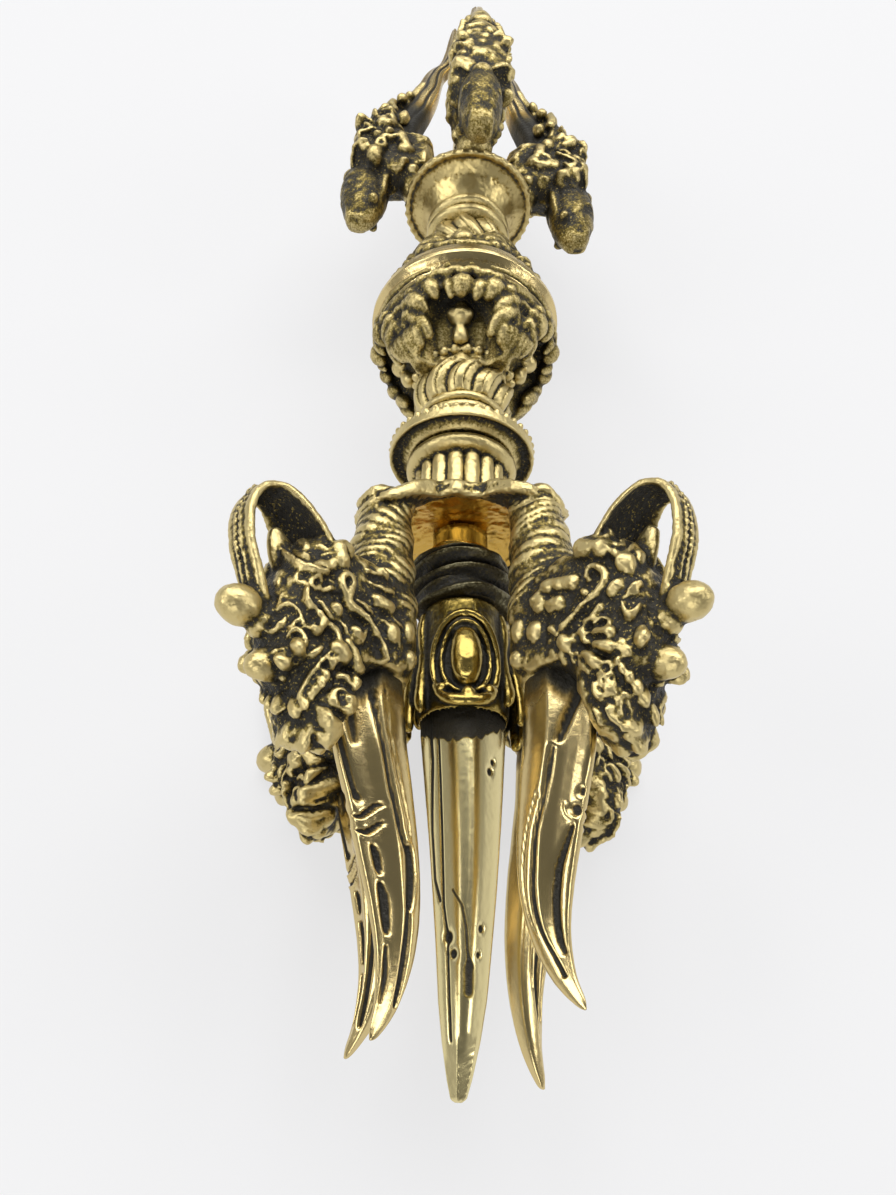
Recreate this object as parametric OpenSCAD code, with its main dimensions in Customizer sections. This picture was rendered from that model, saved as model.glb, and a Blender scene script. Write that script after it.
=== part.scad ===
// Brass vajra lying on its side. The shaft runs along Y: the wide open claw is at -Y
// and the slim closed claw is at +Y. Z is up, and the table is at z = 0.
// Most pieces are drawn in a side frame: x right, y up, z outwards from the hub.

/* [Rest] */
// Height of the shaft's axis over the table
axis_h = 22.5; // [22.3:0.05:22.6]
// Sideways place of the hub, which centres the whole width on x = 0
hub_side = -0.8; // [-3:0.1:3]
// Sideways lean of the wide claw against the shaft, in degrees
claw_lean = 1.9; // [0:0.1:3]

/* [Core rod] */
// Diameter of the rod that the pieces are threaded on
rod_d = 4; // [3:0.1:5]
// Radial gap of every piece on the rod
rod_gap = 0.08; // [0.05:0.01:0.15]
// Depth of the rod in the root of each spike
rod_grip = 4; // [3:0.5:5]

/* [Hub band] */
// Outer diameter of the plain middle band
band_d = 29.2; // [28.6:0.1:32]
// Width of the band along the shaft
band_w = 5.6; // [4:0.1:7]
// Radial thickness of the band's rim
band_rim = 1.5; // [0.8:0.1:1.7]
// Thickness of the web inside the band
web_t = 2; // [1.5:0.1:3]

/* [Hub lotus] */
// Largest diameter of each hub lotus
lotus_d = 26.6; // [24:0.1:27.4]
// Radial gap between the lotus and the band's rim
lotus_gap = 0.4; // [0.2:0.1:1]
// Length of each hub lotus, without its foot
lotus_len = 11; // [9:0.1:13]
// Length of the petal feet that hang over the pearls
foot_len = 3; // [1.5:0.1:3.5]
// Thickness of the petal feet
foot_t = 0.9; // [0.6:0.1:1.5]
// Number of petals round each hub lotus
petals = 4; // [3:1:5]
// Turn of the petals from upright, in degrees
petal_turn = -7.5; // [-15:0.5:15]
// Power of the distance that draws the near lotus in to its foot
near_belly = 1.9; // [1:0.1:2.2]
// The same for the far lotus, which is slimmer
far_belly = 1.1; // [0.9:0.1:2.2]
// Radius of the hollow in each petal
niche_r = 6.3; // [4:0.1:6.8]
// Depth of the hollow in each petal
niche_depth = 3.4; // [1.5:0.1:4]
// Diameter of the bead in each hollow
stamen_d = 3; // [2:0.1:4]

/* [Pearl rings] */
// Diameter of the circle that the pearls sit on
pearl_circle = 14.4; // [12:0.1:15]
// Diameter of one pearl
pearl_d = 1.7; // [1.3:0.1:1.7]
// Number of pearls in a ring
pearls = 26; // [12:1:28]
// Thickness of the ring that carries the pearls
pearl_ring_t = 1.6; // [1.2:0.1:2]

/* [Lotus bulbs] */
// Largest diameter of each bulb
bulb_d = 15; // [13:0.1:17]
// Length of each bulb
bulb_len = 6.4; // [5:0.1:8]
// Number of grooves round each bulb
bulb_flutes = 14; // [8:1:18]

/* [Neck rings] */
// Diameter of the stacked rings
rings_d = 12.8; // [11:0.1:15]
// Length of the stack of rings
rings_len = 5.2; // [4:0.1:7]

/* [Collar] */
// Diameter of the dished collar
collar_d = 21; // [18:0.1:24]
// Length of the collar from the rings to its back face
collar_len = 3.6; // [3:0.1:5]
// Depth of the dish in the collar
collar_dish = 1.2; // [0.5:0.1:2]

/* [Fluted neck] */
// Diameter of the round moulding at the top of the neck
torus_d = 15.8; // [14.5:0.1:18]
// Diameter of the fluted part
neck_d = 13.4; // [11:0.1:14]
// Length of the fluted neck
neck_len = 9.8; // [8:0.1:12]
// Number of flutes
neck_flutes = 16; // [10:1:20]

/* [Near flange] */
// Distance from the axis to the middle of each prong's root
root_r = 13.4; // [12.5:0.1:15]
// Radius of each lobe of the flange
lobe_r = 4.4; // [4:0.1:5]
// Radius of the flange between its lobes
waist_r = 8.9; // [8:0.1:10]
// Thickness of the flange
flange_t = 2.2; // [1.8:0.1:3]
// Drop of the flange from its middle to its rim
flange_drop = 2.2; // [1:0.1:3]
// Diameter of the tenon on each prong
tenon_d = 3.2; // [2.5:0.1:4]
// Radial gap of the tenon in its hole
tenon_gap = 0.06; // [0.04:0.01:0.1]

/* [Near prongs] */
// Directions of the four prongs round the axis, from upright, clockwise from behind
near_turn = [-49, 41.5, 129.5, -129];
// Diameter of the ribbed neck at its root
neck_root_d = 6.8; // [6:0.1:7.2]
// Number of ribs on the neck
neck_ribs = 8; // [5:1:9]
// Reach of the trunk's ball from the root's middle, outwards
near_reach = 19.6; // [17:0.1:19.7]
// Length of a prong from its root to its tip
near_len = 61; // [55:0.5:64]
// Diameter of the ball on the trunk
near_ball_d = 4; // [3:0.1:4.2]
// Full width of the trunk's strap
strap_w = 4.2; // [3:0.1:5]
// Thickness of the trunk's strap
strap_t = 1.4; // [1:0.1:2]
// Full width of the head, across
head_w = 12; // [9:0.1:13]
// Full width of the blade where it leaves the mouth, in the prong's plane
blade_w = 8.8; // [6:0.1:9.4]
// Full thickness of the blade where it leaves the mouth, across
blade_t = 6.6; // [5:0.1:8]

/* [Near spike] */
// Length of the middle spike from the flange to its tip
spike_len = 67.7; // [60:0.1:72]
// Diameter of the stem inside the rings and the sleeve
stem_d = 7.4; // [6.6:0.1:7.6]
// Radial gap between the stem and what slides over it
stem_gap = 0.08; // [0.05:0.01:0.12]
// Diameter of the spike below the sleeve
spike_d = 10.2; // [9:0.1:10.6]
// Bare stem between the flange and the base rings
stem_bare = 3.6; // [2:0.1:5]
// Diameter of the base rings
base_d = 14; // [12:0.1:15]
// Length of the base rings
base_len = 8.6; // [7:0.1:10]
// Number of base rings
base_rings = 4; // [3:1:5]
// Length of the sleeve with the four medallions
sleeve_len = 15.6; // [14:0.1:18]
// Diameter of the sleeve across its leaf edges
sleeve_d = 14.2; // [13:0.1:15]
// Wall of the sleeve's skirt where it hangs over the spike
skirt_gap = 0.25; // [0.15:0.05:0.4]

/* [Far flange] */
// Diameter of the dished far flange
far_flange_d = 22.8; // [20:0.1:24]
// Length of the far flange from the rings to its back face
far_flange_len = 6; // [5:0.1:7]
// Depth of the dish in the far flange, on the hub's side
far_dish = 2; // [1:0.1:2.2]
// Number of scallops round its rim
far_scallops = 30; // [20:1:36]

/* [Far prongs] */
// Directions of the four far prongs round the axis, from upright
far_turn = [1.5, 91.5, 181.5, 271.5];
// Distance from the axis to the middle of each far prong's root
far_root_r = 8.2; // [7.9:0.1:8.4]
// Diameter of each far prong's root
far_root_d = 6; // [5:0.1:6.2]
// Reach of the far trunk's ball from the root's middle, outwards
far_reach = 13.2; // [12:0.1:13.2]
// Length of a far prong from its root to its tip
far_len = 59; // [55:0.5:62]
// Diameter of the far trunk's ball
far_ball_d = 3; // [2.4:0.1:3.2]
// Full width of the far head, across
far_head_w = 10.6; // [8:0.1:11]
// Full width of the far trunk's strap
far_strap_w = 4; // [3:0.1:4.4]
// Thickness of the far trunk's strap
far_strap_t = 1.7; // [1.2:0.1:2]
// Full width of the far blade where it leaves the mouth, in the prong's plane
far_blade_w = 6.8; // [5:0.1:7.2]
// Full thickness of the far blade where it leaves the mouth, across
far_blade_t = 6; // [4.6:0.1:6.4]

/* [Far spike] */
// Length of the far middle spike from the flange to its tip
far_spike_len = 66; // [62:0.5:72]
// Diameter of the far spike at its root
far_spike_d = 6.6; // [6.2:0.1:7]

/* [Hidden] */

brass = "#b8923c";
aged = "#8a6c30";
dark = "#4a3c22";

bore_r = rod_d / 2 + rod_gap;

// Stations along each side, measured outwards from the middle of the hub band
z_lotus = web_t / 2;
z_pearls = z_lotus + lotus_len;
z_bulb = z_pearls + pearl_ring_t;
z_rings = z_bulb + bulb_len;
z_collar = z_rings + rings_len;
z_neck = z_collar + collar_len;
z_flange = z_neck + neck_len;
// Face of the pads that the near prongs stand on
z_root = z_flange + flange_drop + flange_t + 1;
// Flat underside of the near flange, where the spike's shoulder seats
z_under = z_flange + flange_t + 1;
z_base = z_under + stem_bare;
z_sleeve = z_base + base_len;
z_tip = z_under + spike_len;
// Back face of the far flange
z_far = z_collar + far_flange_len;
z_far_tip = z_far + far_spike_len;
// Depth of the far tenons in their flange
far_tenon_len = far_flange_len * 0.4;

hub_y = (z_tip - z_far_tip) / 2;

$fn = 48;

// Side frames: x right, y up, z outwards from the hub
module near_side() translate([hub_side, hub_y, axis_h]) rotate([90, 0, 0]) children();
module far_side() translate([hub_side, hub_y, axis_h]) mirror([0, 1, 0]) rotate([90, 0, 0]) children();

// The wide claw leans sideways from the end of the fluted neck
module leaned()
    translate([0, 0, z_flange]) rotate([0, claw_lean, 0]) translate([0, 0, -z_flange]) children();

// Everything under the table's surface, which wears a flat on the spots that the object rests on
module below_table() {
    room = z_tip + z_far_tip;
    translate([-room / 2, -room / 2, -axis_h]) cube([room, room, axis_h]);
}

// Hole for the core rod, in a side frame
module rod_hole(from, to) translate([0, 0, from]) cylinder(h = to - from, r = bore_r);

// Copies round the axis, starting upright
module around(count, start = 0) for (i = [0:count - 1]) rotate([0, 0, start + i * 360 / count]) children();

// Smooth curve through hand-set rows: a Catmull-Rom blend of the four rows round u
function row(p, i) = p[max(0, min(len(p) - 1, i))];
function blend(p, u) =
    let (i = min(floor(u), len(p) - 2), f = u - i, a = row(p, i - 1), b = row(p, i), c = row(p, i + 1), d = row(p, i + 2))
    (2 * b + (c - a) * f + (2 * a - 5 * b + 4 * c - d) * f * f + (3 * b - a - 3 * c + d) * f * f * f) / 2;
function curve(p, steps) = [for (k = [0:steps]) blend(p, k * (len(p) - 1) / steps)];

// Ring of a swept bar: rows are [radial, along, half thickness in the plane, half width across]
function heading(p, i) =
    let (a = row(p, i - 1), b = row(p, i + 1), d = [b[0] - a[0], b[1] - a[1]]) d / norm(d);
function ring(p, i, sides) =
    let (d = heading(p, i), c = p[i])
    [for (k = [0:sides - 1]) let (a = 360 * k / sides)
        [c[3] * sin(a), c[0] + c[2] * cos(a) * d[1], c[1] - c[2] * cos(a) * d[0]]];

// Closed bar swept along a path in the radial plane
module bar(p, sides = 8) {
    rings = len(p);
    points = [for (i = [0:rings - 1]) each ring(p, i, sides)];
    walls = [for (i = [0:rings - 2], k = [0:sides - 1])
        let (a = i * sides + k, b = i * sides + (k + 1) % sides)
        each [[a, b, a + sides], [b, b + sides, a + sides]]];
    root = [for (k = [1:sides - 2]) [0, k + 1, k]];
    tip = [for (k = [1:sides - 2]) let (o = (rings - 1) * sides) [o, o + k, o + k + 1]];
    polyhedron(points, concat(walls, root, tip), convexity = 8);
}

// CORE

module core_rod() color(aged) {
    near_end = z_under + rod_grip;
    far_side() translate([0, 0, -near_end]) cylinder(h = near_end + z_far + rod_grip, d = rod_d);
}

module hub_band() color(brass) far_side() difference() {
    edge = band_w / 2;
    rim = band_d / 2;
    union() {
        translate([0, 0, -web_t / 2]) cylinder(h = web_t, r = rim - band_rim / 2);
        rotate_extrude() intersection() {
            translate([rim - band_rim, -edge]) square([band_rim, band_w]);
            translate([rim - 1.2 * edge, 0]) circle(1.2 * edge);
        }
    }
    rod_hole(-web_t, web_t);
}

// Profile of a hub lotus: a cup that swells under the band and draws in to its foot
module lotus_profile(belly) {
    r = lotus_d / 2;
    mouth = band_d / 2 - band_rim - lotus_gap;
    reach = lotus_len + foot_len;
    polygon([
        [0, 0], [mouth, 0], [mouth, band_w / 2 - z_lotus + 0.4],
        for (k = [0:10]) let (u = k / 10) [
            mouth + (r - mouth) * sin(min(1, u * 3.3) * 90) - (r - pearl_circle / 2 - pearl_d / 2 - foot_t - 0.3) * pow(u, belly),
            band_w / 2 - z_lotus + 0.4 + (reach - band_w / 2 + z_lotus - 0.4) * u
        ],
        [0, reach]
    ]);
}

module hub_lotus(belly) translate([0, 0, z_lotus]) {
    floor_r = lotus_d / 2 - niche_depth;
    niche_z = band_w / 2 - z_lotus + niche_r + 0.9;
    difference() {
        rotate_extrude() lotus_profile(belly);
        translate([0, 0, -1]) cylinder(h = lotus_len + foot_len + 2, r = bore_r);
        // Room for the pearl ring inside the petal feet
        translate([0, 0, lotus_len]) cylinder(h = foot_len + 1, r = pearl_circle / 2 + pearl_d / 2 + 0.3);
        // Each hollow runs from its arch under the band down to the pearls
        around(petals, petal_turn) {
            translate([0, floor_r + niche_r * 0.72, niche_z]) sphere(niche_r);
            translate([0, pearl_circle / 2 + niche_r, lotus_len + foot_len]) sphere(niche_r * 0.86);
        }
    }
    around(petals, petal_turn)
        translate([0, floor_r - niche_r * 0.28 + stamen_d * 0.3, niche_z]) sphere(d = stamen_d);
}
module near_hub_lotus() color(brass) near_side() hub_lotus(near_belly);
module far_hub_lotus() color(brass) far_side() hub_lotus(far_belly);

module pearl_ring() translate([0, 0, z_pearls]) {
    difference() {
        cylinder(h = pearl_ring_t, d = pearl_circle);
        translate([0, 0, -1]) cylinder(h = pearl_ring_t + 2, r = bore_r);
    }
    around(pearls) translate([0, pearl_circle / 2, pearl_ring_t / 2]) sphere(d = min(pearl_d, 1.2 * pearl_ring_t));
}

// RINGS AND BULBS

module lotus_bulb() translate([0, 0, z_bulb]) difference() {
    cheek = bulb_d / 2;
    rotate_extrude() intersection() {
        square([cheek, bulb_len]);
        translate([cheek - bulb_len, bulb_len / 2]) circle(bulb_len);
    }
    translate([0, 0, -1]) cylinder(h = bulb_len + 2, r = bore_r);
    around(bulb_flutes, 180 / bulb_flutes) translate([0, cheek + 0.1, -1]) cylinder(h = bulb_len + 2, d = 1.3, $fn = 24);
}

// A stack of rounded rings on a plain core
module ring_stack(count, length, d, core_r) {
    pitch = length / count;
    rotate_extrude() {
        translate([core_r, 0]) square([d / 2 - core_r - pitch * 0.36, length]);
        for (i = [0:count - 1])
            translate([d / 2 - pitch * 0.46, (i + 0.5) * pitch]) circle(pitch * 0.46, $fn = 24);
    }
}

module neck_rings() translate([0, 0, z_rings]) ring_stack(3, rings_len, rings_d, bore_r);

module near_pearl_ring() color(brass) near_side() pearl_ring();
module far_pearl_ring() color(brass) far_side() pearl_ring();
module near_lotus_bulb() color(brass) near_side() lotus_bulb();
module far_lotus_bulb() color(brass) far_side() lotus_bulb();
module near_neck_rings() color(brass) near_side() neck_rings();
module far_neck_rings() color(brass) far_side() neck_rings();

// COLLAR AND FLUTED NECK

module near_collar() color(brass) near_side() translate([0, 0, z_collar]) {
    rim = collar_d / 2;
    seat = rings_d / 2 - 0.6;
    rotate_extrude() difference() {
        polygon([
            [bore_r, 0], [seat, 0], [seat + 0.9, 1], [rim - 0.7, collar_len - 2.2], [rim, collar_len - 1.6],
            [rim, collar_len - 0.5], [rim - 0.5, collar_len], [bore_r, collar_len]
        ]);
        // The dish faces the claw, round the seat of the fluted neck
        translate([(rim + torus_d / 2) / 2 + 0.1, collar_len + 0.4]) circle(min(collar_dish + 0.4, (rim - torus_d / 2) / 2));
    }
}

module near_fluted_neck() color(brass) near_side() translate([0, 0, z_neck]) {
    roll = 1.2;
    difference() {
        rotate_extrude() {
            translate([bore_r, 0]) square([neck_d / 2 - bore_r, neck_len]);
            translate([bore_r, 0]) square([torus_d / 2 - bore_r - roll, 2 * roll]);
            translate([torus_d / 2 - roll, roll]) circle(roll);
            translate([bore_r, neck_len - 1]) square([neck_d / 2 + 0.5 - bore_r, 1]);
        }
        around(neck_flutes) translate([0, neck_d / 2 + 0.25, 2 * roll + 0.8])
            cylinder(h = neck_len - 2 * roll - 2.2, d = 1.5, $fn = 24);
    }
}

// NEAR FLANGE

// Outline of the flange: a round middle with one lobe under each prong
module flange_outline() {
    circle(waist_r);
    for (a = near_turn) rotate(-a) {
        translate([0, root_r]) circle(lobe_r);
        translate([-lobe_r, 0]) square([2 * lobe_r, root_r]);
    }
}

module near_flange() color(brass) near_side() difference() {
    rim = root_r + lobe_r;
    leaned() union() {
        intersection() {
            translate([0, 0, z_flange]) rotate_extrude() polygon([
                [0, -0.4], [neck_d / 2 + 0.6, -0.4], [waist_r, 0.5], [root_r, flange_drop * 0.6], [rim, flange_drop],
                [rim, flange_drop + flange_t], [root_r, flange_drop * 0.7 + flange_t],
                [waist_r, flange_t + 0.9], [stem_d / 2 + 1, flange_t + 1], [0, flange_t + 1]
            ]);
            translate([0, 0, z_flange]) linear_extrude(height = flange_drop + flange_t + 1) flange_outline();
        }
        // Pads that the roots of the prongs stand on
        for (a = near_turn) rotate([0, 0, -a]) translate([0, root_r, z_flange + flange_drop * 0.6])
            cylinder(h = z_root - z_flange - flange_drop * 0.6, d = neck_root_d + 0.6);
    }
    leaned() for (a = near_turn) rotate([0, 0, -a]) translate([0, root_r, z_flange - 1])
        cylinder(h = z_root - z_flange + 2, d = tenon_d + 2 * tenon_gap);
    rod_hole(z_flange - 1, z_root + 2);
    // Seat on the fluted neck, square to the shaft
    translate([-rim, -rim, z_flange - 2]) cube([2 * rim, 2 * rim, 2]);
}

// NEAR PRONGS

// Rounded spot at [radial, along] in the prong's plane, moved across by x
module spot(q, r, x = 0) translate([x, q[0], q[1]]) sphere(r, $fn = 8);

// The same shape on both sides of the prong's plane
module both_sides() { children(); mirror([1, 0, 0]) children(); }

// Bent bar along hand-set rows, smoothed to a number of steps
module smooth_bar(rows, steps, sides = 8) bar(curve(rows, steps), sides);

// A makara head on a ribbed neck. Its trunk loops back to the hub and ends in a ball,
// and a blade leaves its mouth, bends in and flares out at the tip.
// Places in the plane are shares of the reach and the length, from the root.
module near_prong_form() {
    function q(r, z) = [root_r + r * near_reach, z_root + z * near_len];
    function s(r, z, thick, wide) = [q(r, z)[0], q(r, z)[1], thick, wide];
    hw = head_w / 2;
    rr = neck_root_d / 2;
    ball = near_ball_d / 2;
    neck = curve([s(0, 0, rr, rr), s(.03, .07, rr * 1.1, rr * 1.1), s(.04, .16, rr * 1.2, rr * 1.2),
        s(.03, .25, rr * 1.2, rr * 1.3), s(0, .36, rr, rr)], 2 * neck_ribs + 1);
    // Every second ring of the neck stands proud as a rib
    bar([for (k = [0:len(neck) - 1]) let (n = neck[k], g = k % 2 == 1 ? 1.1 : 1) [n[0], n[1], n[2] * g, n[3] * g]], 10);
    // Tenon through the flange
    tenon_z = z_flange + flange_drop * .6 + .1;
    translate([0, root_r, tenon_z]) cylinder(h = z_root - tenon_z + 1, d = tenon_d, $fn = 16);
    // Skull, snout and the jaw under them
    hull() { spot(q(.05, .27), hw * .72); spot(q(.36, .25), hw * .6); spot(q(.55, .33), hw * .55); }
    hull() { spot(q(.08, .36), hw * .8); spot(q(.52, .36), hw * .62); spot(q(.5, .5), hw * .5); spot(q(.12, .48), hw * .8); }
    hull() { spot(q(.52, .36), hw * .5); spot(q(.8, .35), hw * .28); spot(q(.74, .45), hw * .3); }
    hull() { spot(q(.4, .5), hw * .42); spot(q(.52, .585), hw * .22); }
    // Fang at the front of the jaw, and the short neck of the ball
    hull() { spot(q(.76, .45), hw * .27); spot(q(.9, .475), hw * .1); }
    hull() { spot(q(.82, .345), hw * .22); spot(q(1, .354), ball * .6); }
    translate([0, q(1, .354)[0], q(1, .354)[1]]) sphere(ball, $fn = 16);
    // Trunk: a broad hood over the brow that narrows to a strap and comes down to the ball
    smooth_bar([s(.34, .235, strap_t * .6, strap_w), s(.48, .165, strap_t * .6, strap_w * 1.1),
        s(.62, .118, strap_t * .5, strap_w * .9), s(.776, .1, strap_t * .5, strap_w * .65),
        s(.918, .112, strap_t * .5, strap_w * .5), s(.995, .157, strap_t * .5, strap_w * .46),
        s(1.005, .221, strap_t * .5, strap_w * .42), s(.955, .287, strap_t * .5, strap_w * .38),
        s(.9, .345, strap_t * .5, strap_w * .34)], 14, 8);
    both_sides() {
        // Eyes, cheek scales, crest scroll and ear
        spot(q(.57, .39), hw * .2, hw * .5);
        spot(q(.68, .435), hw * .18, hw * .4);
        hull() { spot(q(.39, .5), hw * .22, hw * .45); spot(q(.47, .56), hw * .12, hw * .4); }
        hull() { spot(q(.22, .44), hw * .25, hw * .72); spot(q(.3, .55), hw * .13, hw * .6); }
        hull() { spot(q(.24, .25), hw * .2, hw * .46); spot(q(.12, .33), hw * .25, hw * .68); }
        spot(q(.05, .42), hw * .25, hw * .72);
    }
    // Blade
    smooth_bar([s(.107, .39, blade_w * .45, blade_t * .5), s(.092, .49, blade_w * .5, blade_t * .5),
        s(.05, .56, blade_w * .48, blade_t * .47), s(-.04, .656, blade_w * .44, blade_t * .42),
        s(-.128, .762, blade_w * .36, blade_t * .34), s(-.135, .852, blade_w * .26, blade_t * .26),
        s(-.08, .934, blade_w * .15, blade_t * .17), s(.01, 1, blade_w * .04, blade_t * .05)], 14, 10);
}

module near_prong(turn) color(brass) difference() {
    near_side() leaned() rotate([0, 0, -turn]) near_prong_form();
    below_table();
}
module near_prong_upper_left() near_prong(near_turn[0]);
module near_prong_upper_right() near_prong(near_turn[1]);
module near_prong_lower_right() near_prong(near_turn[2]);
module near_prong_lower_left() near_prong(near_turn[3]);

// NEAR SPIKE

// Where the spike grows out over its stem, inside the sleeve
z_shoulder = z_sleeve + sleeve_len * .54;

module near_spike() color(brass) near_side() difference() {
    leaned() rotate_extrude() {
        r = spike_d / 2;
        long = z_tip - z_shoulder;
        polygon([
            [0, z_under], [stem_d / 2, z_under], [stem_d / 2, z_shoulder], [r, z_shoulder],
            [r * .98, z_shoulder + long * .18], [r * .85, z_shoulder + long * .37], [r * .67, z_shoulder + long * .6],
            [r * .49, z_shoulder + long * .8], [r * .25, z_shoulder + long * .955], [r * .1, z_tip], [0, z_tip]
        ]);
    }
    rod_hole(z_under - 1, z_under + rod_grip + rod_gap);
}

module near_base_rings() color(dark) near_side() leaned() translate([0, 0, z_base])
    ring_stack(base_rings, base_len, base_d, stem_d / 2 + stem_gap);

// Sleeve with four medallions and four pairs of leaf edges
module near_spike_sleeve() color(brass) near_side() leaned() translate([0, 0, z_sleeve]) {
    r = sleeve_d / 2;
    difference() {
        union() {
            rotate_extrude() polygon([
                [0, 0], [r * .84, 0], [r * .9, sleeve_len * .15], [r * .91, sleeve_len * .45],
                [r * .88, sleeve_len * .8], [r * .82, sleeve_len], [0, sleeve_len]
            ]);
            around(4, 45) translate([0, r - 1.5, sleeve_len * .62]) scale([1, 1, 3.2]) sphere(1.5);
            around(4) translate([0, r * .66, sleeve_len * .52]) scale([1, 1, 2]) sphere(r * .4);
        }
        translate([0, 0, -1]) cylinder(h = sleeve_len + 2, r = stem_d / 2 + stem_gap);
        translate([0, 0, z_shoulder - z_sleeve]) cylinder(h = sleeve_len, r = spike_d / 2 + skirt_gap);
    }
}

// FAR END

// A dished disc with a scalloped rim. Its dish faces the hub and the prongs stand on its back.
module far_flange() color(brass) far_side() difference() {
    rim = far_flange_d / 2;
    seat = rings_d / 2 - 0.6;
    translate([0, 0, z_collar]) rotate_extrude() difference() {
        polygon([
            [bore_r, 0], [seat, 0], [seat + 1.1, 1.2], [rim - 0.9, far_flange_len - 3.2], [rim, far_flange_len - 2.8],
            [rim, far_flange_len - 1.6], [rim - 1.4, far_flange_len], [bore_r, far_flange_len]
        ]);
        translate([(rim + seat) / 2 + 0.2, far_flange_len - 3.2 - far_dish * 0.2]) circle(far_dish * 0.8);
    }
    around(far_scallops) translate([0, rim + 0.25, z_collar]) cylinder(h = far_flange_len + 1, d = 1, $fn = 16);
    for (a = far_turn) rotate([0, 0, -a]) translate([0, far_root_r, z_far - far_tenon_len - tenon_gap])
        cylinder(h = far_tenon_len + 1, d = tenon_d + 2 * tenon_gap);
}

// A smaller head of the same kind. Its trunk hangs back over the flange, and its blade closes on the spike.
module far_prong_form() {
    function q(r, z) = [far_root_r + r * far_reach, z_far + z * far_len];
    function s(r, z, thick, wide) = [q(r, z)[0], q(r, z)[1], thick, wide];
    hw = far_head_w / 2;
    rr = far_root_d / 2;
    ball = far_ball_d / 2;
    translate([0, far_root_r, z_far - far_tenon_len]) cylinder(h = far_tenon_len + 1, d = tenon_d, $fn = 16);
    smooth_bar([s(0, 0, rr, rr), s(.1, .05, rr * 1.1, rr * 1.15), s(.28, .13, rr * 1.2, rr * 1.3)], 6, 10);
    hull() { spot(q(.34, .15), hw * .8); spot(q(.74, .125), hw * .62); spot(q(.8, .24), hw * .62); spot(q(.36, .33), hw * .76); }
    hull() { spot(q(.75, .26), hw * .55); spot(q(.86, .33), hw * .4); spot(q(.5, .36), hw * .6); }
    hull() { spot(q(.8, .33), hw * .4); spot(q(.93, .395), hw * .2); }
    // Fang and trunk
    hull() { spot(q(.86, .17), hw * .28); spot(q(1.02, .185), hw * .12); }
    hull() { spot(q(.8, .07), hw * .3); spot(q(1, .055), ball * .7); }
    translate([0, q(1, .056)[0], q(1, .056)[1]]) sphere(ball, $fn = 14);
    smooth_bar([s(.5, .09, far_strap_t * .53, far_strap_w * .7), s(.52, -.02, far_strap_t * .53, far_strap_w * .65),
        s(.62, -.105, far_strap_t * .5, far_strap_w * .55), s(.8, -.15, far_strap_t * .5, far_strap_w * .5),
        s(.96, -.125, far_strap_t * .5, far_strap_w * .45), s(1.02, -.054, far_strap_t * .5, far_strap_w * .42),
        s(.98, .02, far_strap_t * .5, far_strap_w * .4)], 10, 8);
    both_sides() {
        hull() { spot(q(.3, .2), hw * .23, hw * .75); spot(q(.36, .3), hw * .15, hw * .7); }
        hull() { spot(q(.6, .3), hw * .23, hw * .55); spot(q(.7, .37), hw * .13, hw * .45); }
        spot(q(.7, .19), hw * .21, hw * .5);
    }
    w = far_blade_w;
    t = far_blade_t;
    smooth_bar([s(.4, .3, w * .5, t * .5), s(.288, .42, w * .44, t * .47), s(.121, .522, w * .35, t * .42),
        s(.015, .607, w * .31, t * .37), s(-.06, .675, w * .25, t * .32), s(-.212, .742, w * .19, t * .27),
        s(-.28, .827, w * .16, t * .22), s(-.31, .912, w * .13, t * .17), s(-.326, 1, w * .05, t * .07)], 14, 8);
}

module far_prong(turn) color(brass) difference() {
    far_side() rotate([0, 0, -turn]) far_prong_form();
    below_table();
}
module far_prong_top() far_prong(far_turn[0]);
module far_prong_right() far_prong(far_turn[1]);
module far_prong_bottom() far_prong(far_turn[2]);
module far_prong_left() far_prong(far_turn[3]);

module far_spike() color(brass) far_side() difference() {
    rotate_extrude() {
        r = far_spike_d / 2;
        polygon([
            [0, z_far], [r, z_far], [r * .97, z_far + far_spike_len * .2], [r * .8, z_far + far_spike_len * .45],
            [r * .6, z_far + far_spike_len * .64], [r * .48, z_far + far_spike_len * .8],
            [r * .3, z_far + far_spike_len * .93], [r * .1, z_far_tip], [0, z_far_tip]
        ]);
    }
    rod_hole(z_far - 1, z_far + rod_grip + rod_gap);
}

core_rod();
hub_band();
near_hub_lotus();
near_pearl_ring();
near_lotus_bulb();
near_neck_rings();
near_collar();
near_fluted_neck();
near_flange();
near_spike();
near_base_rings();
near_spike_sleeve();
near_prong_upper_left();
near_prong_upper_right();
near_prong_lower_right();
near_prong_lower_left();
far_hub_lotus();
far_pearl_ring();
far_lotus_bulb();
far_neck_rings();
far_flange();
far_spike();
far_prong_top();
far_prong_right();
far_prong_bottom();
far_prong_left();
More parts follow.
